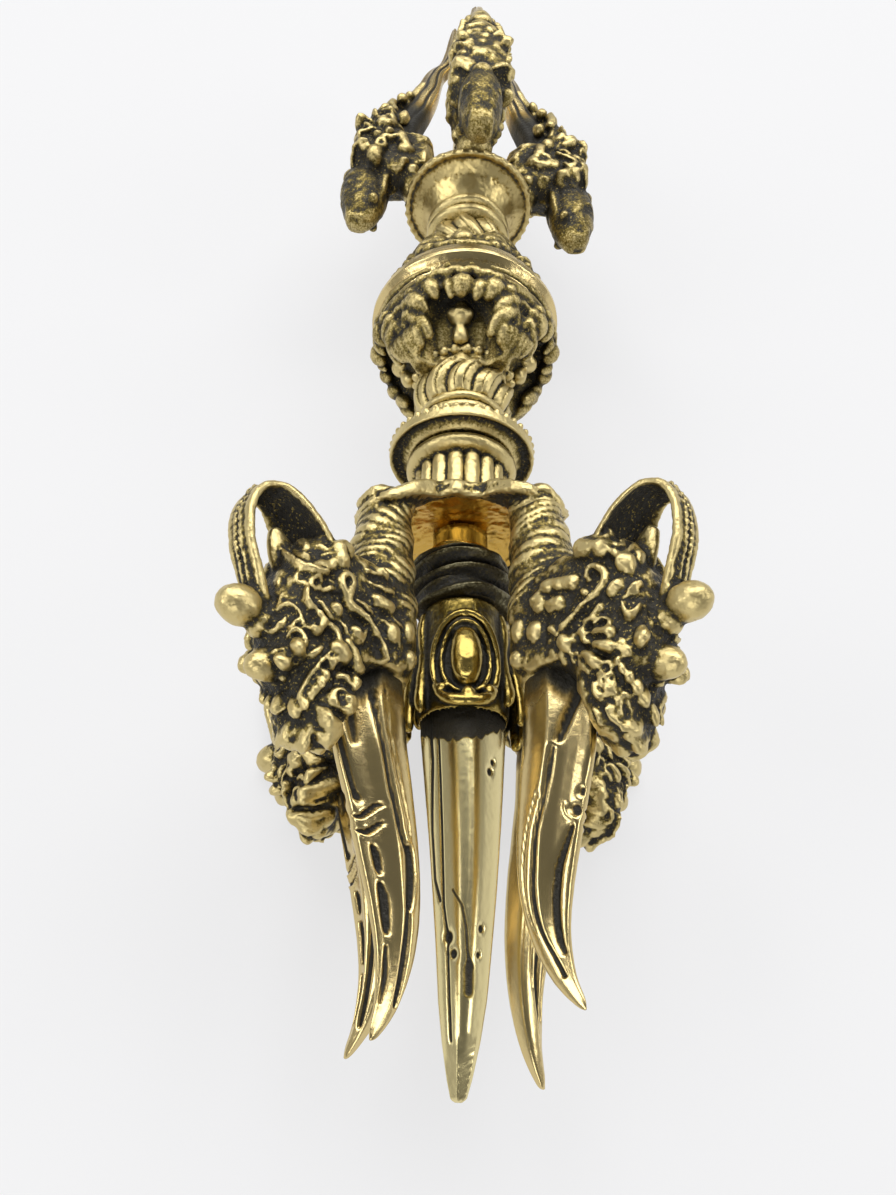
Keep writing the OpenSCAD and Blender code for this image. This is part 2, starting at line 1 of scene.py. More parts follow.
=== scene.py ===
import bmesh
import bpy
import mathutils
import numpy as np
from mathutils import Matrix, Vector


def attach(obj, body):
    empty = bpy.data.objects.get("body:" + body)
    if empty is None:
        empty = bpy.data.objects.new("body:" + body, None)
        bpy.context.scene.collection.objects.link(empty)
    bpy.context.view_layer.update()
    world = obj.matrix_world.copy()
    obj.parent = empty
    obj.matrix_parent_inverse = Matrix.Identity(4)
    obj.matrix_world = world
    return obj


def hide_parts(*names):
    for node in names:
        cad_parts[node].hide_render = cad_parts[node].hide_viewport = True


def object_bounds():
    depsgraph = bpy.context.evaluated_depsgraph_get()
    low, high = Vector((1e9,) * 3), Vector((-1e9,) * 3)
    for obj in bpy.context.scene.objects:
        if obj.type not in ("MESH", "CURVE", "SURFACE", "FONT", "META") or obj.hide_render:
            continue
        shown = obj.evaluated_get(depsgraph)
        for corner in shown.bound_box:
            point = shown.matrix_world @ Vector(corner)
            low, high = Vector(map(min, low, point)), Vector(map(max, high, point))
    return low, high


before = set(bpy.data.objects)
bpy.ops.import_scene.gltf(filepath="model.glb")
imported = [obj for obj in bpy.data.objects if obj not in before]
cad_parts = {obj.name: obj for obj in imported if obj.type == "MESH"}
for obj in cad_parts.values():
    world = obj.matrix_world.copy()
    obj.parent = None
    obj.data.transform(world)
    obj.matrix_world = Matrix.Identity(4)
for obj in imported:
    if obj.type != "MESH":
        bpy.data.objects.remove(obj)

cad_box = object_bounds()

# CORE ROD. A drawn brass rod that every casting of the shaft is threaded on. It is hidden in the
# finished object, so it keeps its plain shape and gets the dull, unpolished finish of bar stock.
def linear(code):
    """An sRGB hex colour as linear light: ((c + 0.055) / 1.055) ^ 2.4 above 0.04045, c / 12.92 below."""
    c = np.array([int(code[i:i + 2], 16) / 255 for i in (1, 3, 5)])
    return (*np.where(c > 0.04045, ((c + 0.055) / 1.055) ** 2.4, c / 12.92), 1.0)


def add(tree, kind, settings=None, **inputs):
    """One shader node with its settings. Each input, named or as i0, i1 by number, gets a value or a socket."""
    made = tree.nodes.new("ShaderNode" + kind)
    for key, value in (settings or {}).items():
        if key == "stops":
            ramp = made.color_ramp.elements
            while len(ramp) < len(value):
                ramp.new(0.5)
            for spot, (place, colour) in zip(ramp, value):
                spot.position, spot.color = place, colour
        else:
            setattr(made, key, value)
    for key, value in inputs.items():
        socket = made.inputs[int(key[1:])] if key[1:].isdigit() else made.inputs[key.replace("_", " ")]
        if isinstance(value, bpy.types.NodeSocket):
            tree.links.new(value, socket)
        else:
            socket.default_value = value
    return made


def blank(block):
    """The emptied node tree of a material or a world."""
    block.use_nodes = True
    block.node_tree.nodes.clear()
    return block.node_tree


def brass(name, bright, warm, rough, specks, grime):
    """Cast brass under an old patina. The wear attribute is 0 in deep recesses and 1 on rubbed high spots.
    Open sky, patches and specks add to it, grime takes from it, and the sum sets colour, gloss and bumps. The open
    sky is ambient occlusion, so recesses and gaps between parts get painted shade on top of their patina."""
    made = bpy.data.materials.new(name)
    tree = blank(made)
    place = add(tree, "TexCoord").outputs["Object"]
    wear = add(tree, "Attribute", {"attribute_name": "wear"}).outputs["Fac"]
    # Patches of about 3 mm where the cloth missed, and bright specks of about 0.3 mm on the grain of the mould
    patch = add(tree, "TexNoise", Vector=place, Scale=330.0, Detail=4.0, Roughness=0.6).outputs["Fac"]
    speck = add(tree, "TexNoise", Vector=place, Scale=3200.0, Detail=1.0, Roughness=0.6).outputs["Fac"]
    # Ambient occlusion within 3.5 mm: painted shade that darkens recesses and gaps between parts, over the patina of
    # the wear attribute
    open_sky_painted_shade = add(tree, "AmbientOcclusion", {"samples": 8}, Distance=0.0035).outputs["AO"]
    patches = 0.25 + specks / 2
    patched = add(tree, "Math", {"operation": "MULTIPLY_ADD"}, i0=patch, i1=patches, i2=wear).outputs[0]
    specked = add(tree, "Math", {"operation": "MULTIPLY_ADD"}, i0=speck, i1=specks, i2=patched).outputs[0]
    rubbed = add(tree, "Math", {"operation": "MULTIPLY_ADD"}, i0=open_sky_painted_shade, i1=0.6, i2=specked).outputs[0]
    taken = 0.275 + (patches + specks) / 2 + grime
    plain = add(tree, "Math", {"operation": "SUBTRACT", "use_clamp": True}, i0=rubbed, i1=taken).outputs[0]
    glint = add(tree, "MapRange", Value=speck, i1=0.54, i2=0.7, i3=0.0, i4=specks * 0.9).outputs[0]
    shown = add(tree, "Math", {"operation": "MAXIMUM"}, i0=plain, i1=glint).outputs[0]
    colour = add(tree, "ValToRGB", {"stops": [
        (0.1, linear("#26231a")), (0.3, linear("#4b4430")), (0.48, linear(warm)), (0.74, linear(bright))]}, Fac=shown)
    metal = add(tree, "MapRange", Value=shown, i1=0.1, i2=0.4, i3=0.35, i4=1.0).outputs[0]
    gloss = add(tree, "MapRange", Value=shown, i1=0.1, i2=0.7, i3=0.5, i4=rough).outputs[0]
    # Casting skin: bumps of about 0.4 mm, strongest where no cloth has reached
    skin = add(tree, "TexNoise", Vector=place, Scale=1900.0, Detail=3.0, Roughness=0.7).outputs["Fac"]
    depth = add(tree, "MapRange", Value=shown, i1=0.1, i2=0.8, i3=0.9, i4=specks / 2).outputs[0]
    bump = add(tree, "Bump", Strength=depth, Distance=0.00035, Height=skin).outputs[0]
    surface = add(tree, "BsdfPrincipled", Base_Color=colour.outputs[0], Metallic=metal, Roughness=gloss, Normal=bump)
    add(tree, "OutputMaterial", Surface=surface.outputs[0])
    return made


# Bar stock is even and dull, with no dirt in it
bar_stock = brass("drawn_brass_bar", "#b9a470", "#857040", 0.42, 0.1, -0.9)
rod = bpy.data.objects["core_rod"]
rod.data.materials.clear()
rod.data.materials.append(bar_stock)

# HUB BAND. The plain polished band round the middle of the hub, cast brass that is rubbed bright by the hand.
# It is turned to a round section and pinched a little where the petals of the two lotuses end.
hub = np.array([-0.8, 6.15, 22.5])
bore = 2.08
# Rubbed brass is bright, with soft long reflections and only a thin brown veil
polished = brass("hand_rubbed_brass", "#d4bf88", "#8f7743", 0.24, 0.12, -0.15)


def near(p):
    """Side frame of the wide claw (x right, y up, z outwards from the hub, mm) to the frame of the part."""
    return hub + np.stack([p[..., 0], -p[..., 2], p[..., 1]], -1)


def far(p):
    """Side frame of the slim claw to the frame of the part."""
    return hub + np.stack([p[..., 0], p[..., 2], p[..., 1]], -1)


def round_axis(r, a, z):
    """Places at radius r, angle a from upright and station z."""
    return np.stack(np.broadcast_arrays(r * np.sin(a), r * np.cos(a), z), -1)


def circle(n):
    """Angles of n even steps round the axis."""
    return np.linspace(0, 2 * np.pi, n, endpoint=False)


def skin(grid, loop=False):
    """Vertices, quads and triangles over a grid whose columns close on themselves. Its rows close too
    where loop is set, and otherwise each end is closed by a fan to its middle point."""
    n, m, _ = grid.shape
    ids = np.arange(n * m).reshape(n, m)
    a, b = (ids, np.roll(ids, -1, 0)) if loop else (ids[:-1], ids[1:])
    quads = np.stack([a, np.roll(a, -1, 1), np.roll(b, -1, 1), b], -1).reshape(-1, 4)
    verts = grid.reshape(-1, 3)
    if loop:
        return verts, quads, np.empty((0, 3), int)
    first, last = ids[0], ids[-1]
    fans = np.vstack([np.stack([np.full(m, n * m), np.roll(first, -1), first], -1),
                      np.stack([np.full(m, n * m + 1), last, np.roll(last, -1)], -1)])
    return np.vstack([verts, grid[0].mean(0), grid[-1].mean(0)]), quads, fans


def gather(shells):
    """Several closed shells as one list of vertices, quads and triangles."""
    starts = np.cumsum([0] + [len(s[0]) for s in shells])
    return (np.vstack([s[0] for s in shells]), np.vstack([s[1] + k for s, k in zip(shells, starts)]),
            np.vstack([s[2] + k for s, k in zip(shells, starts)]))


def mesh_of(name, shell):
    """A mesh from vertices in mm and their faces."""
    made = bpy.data.meshes.new(name)
    made.from_pydata(shell[0] / 1000, [], shell[1].tolist() + shell[2].tolist())
    made.update()
    return made


def read(mesh, values, field, width, kind=float):
    """One field of a mesh's vertices or edges as an array."""
    out = np.empty(len(values) * width, kind)
    values.foreach_get(field, out)
    return out.reshape(-1, width)


def eased(at, ends):
    """Places moved half way to the mean of their neighbours, over edges given by their two ends."""
    degree = np.bincount(ends.ravel(), minlength=len(at))[:, None]
    total = np.stack([np.bincount(ends[:, 0], at[ends[:, 1], k], len(at)) +
                      np.bincount(ends[:, 1], at[ends[:, 0], k], len(at)) for k in range(3)], -1)
    return 0.5 * at + 0.5 * total / degree


def weather(mesh, start=0.45, broad=0.3):
    """Wear of each vertex: start, less the distance to the mean of its neighbours along the normal. After 5 steps
    of easing this finds fine edges, where 0.05 mm takes 0.3 of wear. After 80 it finds broad hollows, where a
    distance of broad mm takes 0.7."""
    at = read(mesh, mesh.vertices, "co", 3) * 1000
    out = read(mesh, mesh.vertex_normals, "vector", 3)
    ends = read(mesh, mesh.edges, "vertices", 2, np.int32)
    mean, hollow = at, np.zeros(len(at))
    for steps, size, taken in ((5, 0.05, 0.3), (75, broad, 0.7)):
        for _ in range(steps):
            mean = eased(mean, ends)
        hollow += np.clip(((mean - at) * out).sum(1) / size, -1, 1) * taken
    return np.clip(start - hollow, 0, 1)


def grain(p, size, seed=0):
    """Smooth random field from -1 to 1 over points in mm: random corners of cubes of a size, blended by the
    weights 3 f^2 - 2 f^3 along each axis."""
    q = p / size
    low = np.floor(q).astype(np.int64)
    f = q - low
    f = f * f * (3 - 2 * f)
    out = np.zeros(p.shape[:-1])
    for k in range(8):
        c = np.array([k & 1, k >> 1 & 1, k >> 2])
        mix = ((low + c) * (73856093, 19349663, 83492791)).sum(-1) + seed * 40503
        mix = (mix ^ mix >> 13) * 1274126177 & 0x7fffffff
        out += np.where(c, f, 1 - f).prod(-1) * ((mix >> 8) % 4096 / 2047.5 - 1)
    return out


def link(made):
    """The object given, put in the scene."""
    bpy.context.scene.collection.objects.link(made)
    return made


def make(name, put, shell, metals, slot="cast_brass", rub=1.0, picks=None, rough=1.0, **tone):
    """A finished piece on the body of the part, in place of the solid of its name. The shell's places go through
    put to the part's frame. Its skin is roughened by waves of 4, 1 and 0.4 mm, and its wear comes from its own
    hollows and ridges, times rub or as rub makes it."""
    mesh = mesh_of(name, (put(shell[0]), *shell[1:]))
    full = bmesh.new()
    full.from_mesh(mesh)
    bmesh.ops.recalc_face_normals(full, faces=full.faces)
    full.to_mesh(mesh)
    full.free()
    mesh.polygons.foreach_set("use_smooth", np.ones(len(mesh.polygons), bool))
    at = read(mesh, mesh.vertices, "co", 3) * 1000
    out = read(mesh, mesh.vertex_normals, "vector", 3)
    swell = 0.06 * grain(at, 4.0) + 0.035 * grain(at, 1.1, 1) + 0.03 * grain(at, 0.42, 2)
    at = np.clip((at + out * (swell * rough)[:, None]) / 1000, *cad_box)
    mesh.vertices.foreach_set("co", at.ravel())
    mesh.update()
    wear = weather(mesh, **tone)
    wear = np.clip(rub(wear) if callable(rub) else wear * rub, -0.8, 1)
    mesh.attributes.new("wear", "FLOAT", "POINT").data.foreach_set("value", wear)
    for metal in metals:
        mesh.materials.append(metal)
    if picks is not None:
        mesh.polygons.foreach_set("material_index", picks.astype(np.int32))
    piece = link(bpy.data.objects.new(name.replace("_", "-"), mesh))
    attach(piece, "root")
    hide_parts(name)


def turned(z0, z1, outer, rows, turns, hole=bore, edge=0.3):
    """A ring round the axis, from station z0 to z1. Its outside is the radius outer(z, a) at station z and
    angle a, its two end faces run in to the hole, and its rims are rounded by a quarter circle of radius edge."""
    a = circle(turns)[None, :]
    z = np.linspace(z0, z1, rows)[:, None]
    lip = np.clip(1 - np.minimum(z - z0, z1 - z) / edge, 0, 1)
    r = outer(z, a) - edge * (1 - np.sqrt(1 - lip * lip))
    share = np.array([0, 0.4, 0.7, 0.88, 0.96])[:, None]
    r = np.vstack([hole + (r[:1] - hole) * share, r, hole + (r[-1:] - hole) * share[::-1]])
    return round_axis(r, a, np.vstack([np.full((5, 1), z0), z, np.full((5, 1), z1)]))


def band_outside(z, a):
    """A thin ridge of radius 14.75 at the middle, falling away at both sides in a hollow slope, and a little
    uneven."""
    wide = np.interp(z, [-2.8, -1.6, -0.5, 0.0, 0.7, 1.1, 1.6, 2.2, 2.8],
                     [13.5, 13.8, 14.45, 14.75, 14.75, 14.4, 14.0, 13.6, 13.2])
    return wide + 0.06 * np.sin(3 * a + 1) + 0.04 * np.sin(7 * a)


band = turned(-2.8, 2.8, band_outside, 60, 360)
# The slope towards the slim claw keeps its shine, and the one towards the wide claw is painted darker: painted shade
# on the undercut side of the band
shaded_slope = np.clip((band[..., 2].ravel() - 1.0) / 0.6, 0, 1)
make("hub_band", near, skin(band, True), [polished], rub=lambda w: 1.3 * w - 0.45 * shaded_slope, rough=0.5)

# HUB LOTUSES. Two cast cups of petals that meet inside the band. Each petal is a deep hollow under a scalloped
# arch, with a bud inside, and the ribs between the petals run down to feet that hang over the pearls.
# Old cast brass shows bright worn edges and specks over rough, nearly black hollows of patina, deepened further by
# painted shade from ambient occlusion
carved = brass("patinated_cast_brass", "#d2bf86", "#80703c", 0.37, 0.6, 0.34)


def smooth(rows, n, closed=False):
    """Catmull-Rom curve through rows: from b to c, with a before and d after, share f of the way it is
    (2b + (c - a) f + (2a - 5b + 4c - d) f^2 + (3b - a - 3c + d) f^3) / 2."""
    p = np.asarray(rows, float)
    k = len(p)
    u = np.linspace(0, k - (0 if closed else 1), n, endpoint=not closed)
    i = np.minimum(u.astype(int), k - (1 if closed else 2))
    f = (u - i)[:, None]
    a, b, c, d = [p[j % k] if closed else p[np.clip(j, 0, k - 1)] for j in (i - 1, i, i + 1, i + 2)]
    return (2 * b + (c - a) * f + (2 * a - 5 * b + 4 * c - d) * f ** 2 + (3 * b - a - 3 * c + d) * f ** 3) / 2


def strand(points, thick, wide=None, sides=10):
    """A round or flat bar along a curve, with round ends, in steps of 0.35 mm. Its section is an ellipse, thick in
    the plane of the curve and wide across, and both may be lists that run along it."""
    points = np.asarray(points, float)
    n = len(points)
    size = np.stack([np.broadcast_to(thick, n), np.broadcast_to(thick if wide is None else wide, n)], -1)
    length = np.linalg.norm(np.diff(points, axis=0), axis=1).sum()
    path = smooth(np.hstack([points, size]), max(8, int(length / 0.35)))
    c, size = path[:, :3], path[:, 3:]
    along = np.gradient(c, axis=0)
    along /= np.linalg.norm(along, axis=1)[:, None]
    across = np.array([1.0, 0.02, 0.03]) - along * along[:, :1]
    across -= along * (across * along).sum(1)[:, None]
    across /= np.linalg.norm(across, axis=1)[:, None]
    side = np.cross(along, across)
    gone = np.concatenate([[0], np.cumsum(np.linalg.norm(np.diff(c, axis=0), axis=1))])
    left = np.minimum(gone, gone[-1] - gone) + 0.04
    round_end = np.sqrt(1 - (1 - np.clip(left / size.min(1), 0, 1)) ** 2)[:, None]
    size = size * round_end
    v = circle(sides)
    return skin(c[:, None] + side[:, None] * (size[:, :1] * np.cos(v))[..., None] +
                across[:, None] * (size[:, 1:] * np.sin(v))[..., None])


def ball(c, r, stretch=(1, 1, 1), turns=14):
    """A sphere, or an ellipsoid whose axes are stretched."""
    v = circle(turns)[None, :]
    u = np.linspace(0.08, np.pi - 0.08, turns // 2 + 2)[:, None]
    s = np.asarray(stretch, float) * r
    places = np.stack([np.sin(u) * np.cos(v) * s[0], np.sin(u) * np.sin(v) * s[1], np.cos(u) * s[2] + 0 * v], -1)
    return skin(places + c)


def fused(shells, voxel, relax=1):
    """Overlapping closed shells run into one skin of even squares, as wax parts are when they are joined for
    casting. Each vertex then moves half way to the mean of its neighbours, relax times."""
    piece = link(bpy.data.objects.new("wax", mesh_of("wax", gather(shells))))
    skinner = piece.modifiers.new("skin", "REMESH")
    skinner.mode, skinner.voxel_size, skinner.adaptivity = "VOXEL", voxel / 1000, 0.0
    solid = piece.evaluated_get(bpy.context.evaluated_depsgraph_get())
    mesh = solid.to_mesh()
    at = read(mesh, mesh.vertices, "co", 3) * 1000
    ends = read(mesh, mesh.edges, "vertices", 2, np.int32)
    size = read(mesh, mesh.polygons, "loop_total", 1, np.int32)[:, 0]
    first = read(mesh, mesh.polygons, "loop_start", 1, np.int32)[:, 0]
    corner = read(mesh, mesh.loops, "vertex_index", 1, np.int32)[:, 0]
    quads = corner[first[size == 4][:, None] + np.arange(4)]
    tris = corner[first[size == 3][:, None] + np.arange(3)]
    solid.to_mesh_clear()
    bpy.data.objects.remove(piece)
    for _ in range(relax):
        at = eased(at, ends)
    return at, quads, tris


def on_side(r, a, z):
    """Places at radius r, angle a in degrees from upright and station z, each a number or a list."""
    return round_axis(np.asarray(r, float), np.radians(a), z)


sides = (("near", near), ("far", far))
first_petal = -7.5  # angle of the upper petal's middle
rib = {"near": [(2.8, 13.9), (4, 13.95), (8, 12.9), (12.3, 11.0), (15, 9.2)],
       "far": [(2.8, 13.3), (4, 12.5), (6, 11.4), (9, 9.9), (12.3, 8.7), (15, 7.8)]}


def cup(side):
    """Outside of a lotus. Between ribs that follow the outline of its side, four petals are hollowed down to
    radius 11.4 under the band and 6.9 at the pearls, inside an arch of half width
    6.2 sqrt(1 - ((10.3 - z) / 5.85)^2). Two grooves follow the arch at 1.9 and 3.2 mm from its edge, and a deep
    seam runs along the band."""
    def outside(z, a):
        wide = np.interp(z, *zip(*rib[side]))
        d = (np.degrees(a) - first_petal + 45) % 90 - 45
        arc = np.abs(wide * np.sin(np.radians(d)))
        half = 6.2 * np.sqrt(1 - (np.clip(10.3 - z, 0, 5.8) / 5.85) ** 2) - 0.2 * np.clip(z - 11, 0, 4)
        floor = np.minimum(np.interp(z, [3, 5, 9, 12, 13], [11.4, 10.6, 9.0, 7.4, 6.9]), wide - 1)
        edge = 1 / (1 + np.exp((half - arc) * 5))
        fold = 0.22 * np.cos(np.radians(d * 14)) * (1 - edge)
        leafy = 0.35 * np.sin(3.1 * z + 0.3 * np.abs(d))
        leafy = leafy * np.clip((np.abs(d) - 32) / 6, 0, 1) * np.clip((z - 4) / 2, 0, 1)
        for off, deep in ((1.9, 0.45), (3.2, 0.35)):
            leafy = leafy - deep * np.exp(-((arc - half - off) / 0.4) ** 2)
        seam = 1.1 * np.exp(-((z - 2.9) / 0.45) ** 2)
        return floor + (wide - floor) * edge + fold + leafy * edge - seam
    return outside


def at_rib(side, d, z, lift):
    """A point lifted off the outline of a lotus, at angle d from the middle of a petal and station z."""
    d, z = np.broadcast_arrays(np.asarray(d, float), np.asarray(z, float))
    return on_side(np.interp(z, *zip(*rib[side])) + lift, d, z)


def frill(side):
    """The carving round one petal: its outer edge, the knobs that hang into its hollow, the leaves between two
    petals, and the bud."""
    bend = np.linspace(-44, 44, 45)
    brim = 3.9 + 6.2 * np.abs(bend / 43) ** 3.2 + 0.25 * np.sin(bend * 0.6)
    out = [strand(at_rib(side, bend, brim, -0.1), 0.8)]
    # Knobs: angle, station and size
    for d, z, r in [(-31, 10.2, 1.0), (-27, 8.0, 1.45), (-17, 6.6, 1.25), (-6, 6.9, 0.8), (1.5, 6.8, 1.6),
                    (12, 7.2, 1.0), (20, 6.9, 1.5), (28, 8.6, 1.1), (30, 10.2, 1.3)]:
        path = at_rib(side, [d * 1.25, d * 1.08, d, d * 0.9], [z - 2.0, z - 0.9, z + 0.1, z + 1.2],
                      [-0.5, -0.1, 0.1, -0.6])
        out.append(strand(path, [r * 0.9, r, r * 0.85, r * 0.4], [r * 1.3, r * 1.25, r, r * 0.5]))
    # Leaves between two petals, each three angles and three stations, and a leg down each side of the hollow
    leaves = [((19, 24, 28), (5.0, 4.6, 4.8)), ((28, 32, 37), (6.6, 5.7, 5.8)), ((31, 36, 41), (8.0, 7.0, 7.4)),
              ((32, 37, 42), (9.5, 8.7, 9.1)), ((32, 33, 35), (10.4, 11.8, 13.6)),
              ((36, 38, 39), (10.3, 11.9, 14.0)), ((40, 42, 42), (10.3, 12.0, 14.4))]
    for way in (-1, 1):
        out += [strand(at_rib(side, way * np.array(d), z, [-0.2, 0.1, -0.25]), [0.75, 1.05, 0.6])
                for d, z in leaves]
        leg = at_rib(side, way * np.array([29.5, 28, 24]), [9.4, 11.0, 12.8], [0.0, -0.3, -0.7])
        out.append(strand(leg, [1.0, 1.2, 0.6]))
    stalk = on_side([9.2, 8.6, 7.8], 0, [10.0, 11.2, 12.6])
    return out + [ball(on_side(10.0, 1, 7.4), 1.15, (1, 1, 0.9)), ball(on_side(9.6, 0, 8.9), 1.75, (1, 1, 0.8)),
                  ball(on_side(9.9, 6, 8.6), 1.0), ball(on_side(9.9, -6, 8.6), 1.0), strand(stalk, [1.0, 1.2, 1.8])]


def spun(shells, count, start=0.0):
    """Copies of some shells round the axis."""
    out = []
    for turn in np.radians(start + np.arange(count) * 360 / count):
        c, s = np.cos(turn), np.sin(turn)
        out += [(v @ np.array([[c, -s, 0], [s, c, 0], [0, 0, 1]]), q, t) for v, q, t in shells]
    return out


for side, put in sides:
    lotus = fused([skin(turned(1.0, 15.0, cup(side), 90, 480, bore + 3.2), True),
                   skin(turned(1.0, 11.5, lambda z, a: 6.5 + 0 * z + 0 * a, 20, 120), True)] +
                  spun(frill(side), 4, first_petal), 0.25)
    # Old polish has browned the floors of the hollows
    sunk = np.interp(lotus[0][:, 2], *zip(*rib[side])) - np.hypot(lotus[0][:, 0], lotus[0][:, 1])
    browned = 0.3 * np.clip(sunk - 0.8, 0, 1) * np.clip((lotus[0][:, 2] - 6) / 2, 0, 1)
    make(side + "_hub_lotus", put, lotus, [carved],
         rub=lambda w: 0.04 + 0.65 * w + browned, start=0.62, broad=1.0)

# PEARL RINGS. A ring of small round pearls at the foot of each lotus, cast with the thin washer behind them
# and rubbed bright on their tops.
pearls = [skin(turned(12.0, 13.6, lambda z, a: 6.9 + 0 * z + 0 * a, 12, 240), True)]
pearls += spun([ball(on_side(7.15, 0, 12.8), 0.84, (1, 1, 0.9), 16)], 26)
pearls = fused(pearls, 0.2)
for side, put in sides:
    make(side + "_pearl_ring", put, pearls, [carved], start=0.6)

# LOTUS BULBS. Small cast bulbs of long leaves that lean with the shaft's turn, thick at the tip end.
def bulb(z, a):
    """Radius 5.9 swelling by half a sine to 7.4, cut by ten slanted grooves with sharp floors."""
    u = (z - 13.6) / 6.4
    leaf = np.abs(np.sin(5 * (a + 0.45 * u + 0.16 * np.sin(3 * u))))
    swell = 1.5 * np.sin(np.pi * np.clip(u * 0.88 + 0.1, 0, 1)) ** 0.8
    return 5.9 + swell - 0.95 * (1 - leaf ** 0.55) + 0.25 * (leaf > 0.9)


bulb_shape = skin(turned(13.6, 20.0, bulb, 50, 320), True)
for (side, put), start in zip(sides, (0.7, 0.8)):
    make(side + "_lotus_bulb", put, bulb_shape, [carved], start=start)

# NECK RINGS. Thin turned rings, three on the side of the wide claw and two deeper ones on the other, a little
# uneven, with patina in their grooves.
rings_from, rings_long = 20.0, 5.2


def ringed(count, r, deep):
    """Radius r of count round beads along the neck, with grooves of a given depth that waver round the axis."""
    def outside(z, a):
        waver = 0.12 * np.sin(2 * a + z) * (z > rings_from + 0.4)
        bead = np.abs(np.sin(np.pi * count * (z - rings_from) / rings_long + waver))
        return r - deep * (1 - bead) ** 1.6 + 0.05 * np.sin(5 * a)
    return outside


for (side, put), (count, r, deep, start) in zip(sides, ((3, 6.5, 1.0, 0.8), (2, 7.1, 1.6, 0.85))):
    rings = turned(rings_from, rings_from + rings_long, ringed(count, r, deep), 56, 240)
    make(side + "_neck_rings", put, skin(rings, True), [carved], "dark_brass", start=start)

# COLLAR. A dished collar on the side of the wide claw, cast in one. Its rim carries small beads, and drops hang
# from the rings over its back. The dish faces the claw.
def collar_back(z, a):
    """A flare from radius 5.9 to the rim at 10.4, as a quarter wave, then straight to the end."""
    u = np.clip((z - 25.2) / 2.3, 0, 1)
    return 5.9 + 4.5 * np.sin(np.pi / 2 * u) ** 0.9 + 0.05 * np.sin(4 * a)


dish = turned(25.2, 28.8, collar_back, 44, 360, bore, 0.45)
radius = np.hypot(dish[..., 0], dish[..., 1])
sink = np.clip((radius - 7.9) / 1.0, 0, 1) * np.clip((10.2 - radius) / 0.9, 0, 1)
dish[..., 2] -= (dish[..., 2] > 28.0) * sink * 1.1
drop = on_side([6.2, 7.4, 8.5], 0, [25.5, 25.6, 26.1])
drops = spun([strand(drop, [0.5, 0.7, 0.5])], 15)
beads = spun([ball(on_side(10.15, 0, 26.9), 0.5, turns=10)], 44)
collar = fused([skin(dish, True)] + drops + beads, 0.2)
make("near_collar", near, collar, [carved], start=0.65)

# FLUTED NECK. A round moulding over a short column of leaves, which carries the flange of the wide claw. It is
# cast, and its leaves are rubbed bright.
neck_end = 38.6


def column(z, a):
    """A half-round moulding of radius 7.9 round z 30.2, then 6.55 with sixteen grooves and a foot ring."""
    roll = 6.2 + 1.7 * np.sqrt(np.clip(1 - ((z - 30.2) / 1.3) ** 2, 0, 1))
    leaf = np.abs(np.sin(8 * a)) ** 0.6
    shaft = 6.55 - 0.75 * (1 - leaf) * (z < 37.4) + 0.35 * np.exp(-((z - 38.2) / 0.4) ** 2)
    return np.where(z < 31.5, np.maximum(roll, shaft - 0.3), shaft)


make("near_fluted_neck", near, skin(turned(28.8, neck_end, column, 80, 360), True), [carved], start=0.8)

# FLANGE OF THE WIDE CLAW. A cast plate with four lobes, one under each prong, domed like an open umbrella.
# Its rim is doubled and rough, and its underside is golden, painted bright to stand in for light reflected up into
# it.
turns_of_prongs = [-49.0, 41.5, 129.5, -129.0]
# The underside is golden brass with the grime taken out, painted bright as light reflected up into it from below
underside_gold_painted_light = brass("cast_brass_underside_painted_light", "#d9b055", "#a8832c", 0.26, 0.2, -0.5)


def leaned(p):
    """The wide claw's lean of 1.9 degrees to the right, about the end of the fluted neck."""
    lean = np.radians(1.9)
    s, c = np.sin(lean), np.cos(lean)
    z = p[..., 2] - neck_end
    return np.stack([p[..., 0] * c + z * s, p[..., 1], neck_end - p[..., 0] * s + z * c], -1)


def wide_claw(p):
    """Frame of the wide claw, leaning with it, to the frame of the part."""
    return near(leaned(p))


a = circle(720)
# Reach of the rim: wide lobes under the prongs, with waists between them
reach = np.full(len(a), 8.0)
for turn in turns_of_prongs:
    d = np.degrees(np.abs((a - np.radians(turn) + np.pi) % (2 * np.pi) - np.pi))
    reach = np.maximum(reach, np.interp(d, [0, 12, 20, 26, 32, 45], [16.3, 16.0, 14.8, 12.4, 10.4, 10.9]))
for _ in range(6):
    reach = 0.5 * reach + 0.25 * (np.roll(reach, 1) + np.roll(reach, -1))
reach -= 0.15 * np.sin(23 * a + 1) + 0.2 * np.sin(11 * a)
u = np.array([0, 0.25, 0.5, 0.65, 0.8, 0.88, 0.93, 0.965, 0.985, 0.997, 1.0])
u = np.interp(np.linspace(0, 1, 34), np.linspace(0, 1, 11), u)
r = bore + (reach - bore) * u[:, None]
top = np.interp(r, [0, 7.2, 9, 11, 13.4, 16.3], [0, 0, 0.7, 1.6, 3.0, 4.7])
under = np.interp(r, [0, 4.7, 8.9, 11, 13.4, 16.3], [2.9, 2.9, 3.5, 4.3, 5.4, 6.5])
rim = np.clip((u[:, None] - 0.9) / 0.1, 0, 1)
groove = 0.5 * np.exp(-((u[:, None] - 0.87) / 0.035) ** 2)
top = top + 0.45 * rim ** 3 + groove
under = under - 0.45 * rim ** 3
mid = (top[-1:] + under[-1:]) / 2
r = np.vstack([r, r[-1:] + 0.12, r[-1:] + 0.02, r[-1:] + 0.12, r[::-1]])
z = neck_end + np.vstack([top, mid - 0.5, mid, mid + 0.5, under[::-1]])
rim_share = np.clip((r - 8.5) / 4, 0, 1)
plate = leaned(round_axis(r, a, z))
plate[..., 2] += (0.3 * np.sin(9 * a + 1) + 0.2 * np.sin(17 * a)) * rim_share
plate[..., 2] = np.maximum(plate[..., 2], neck_end)
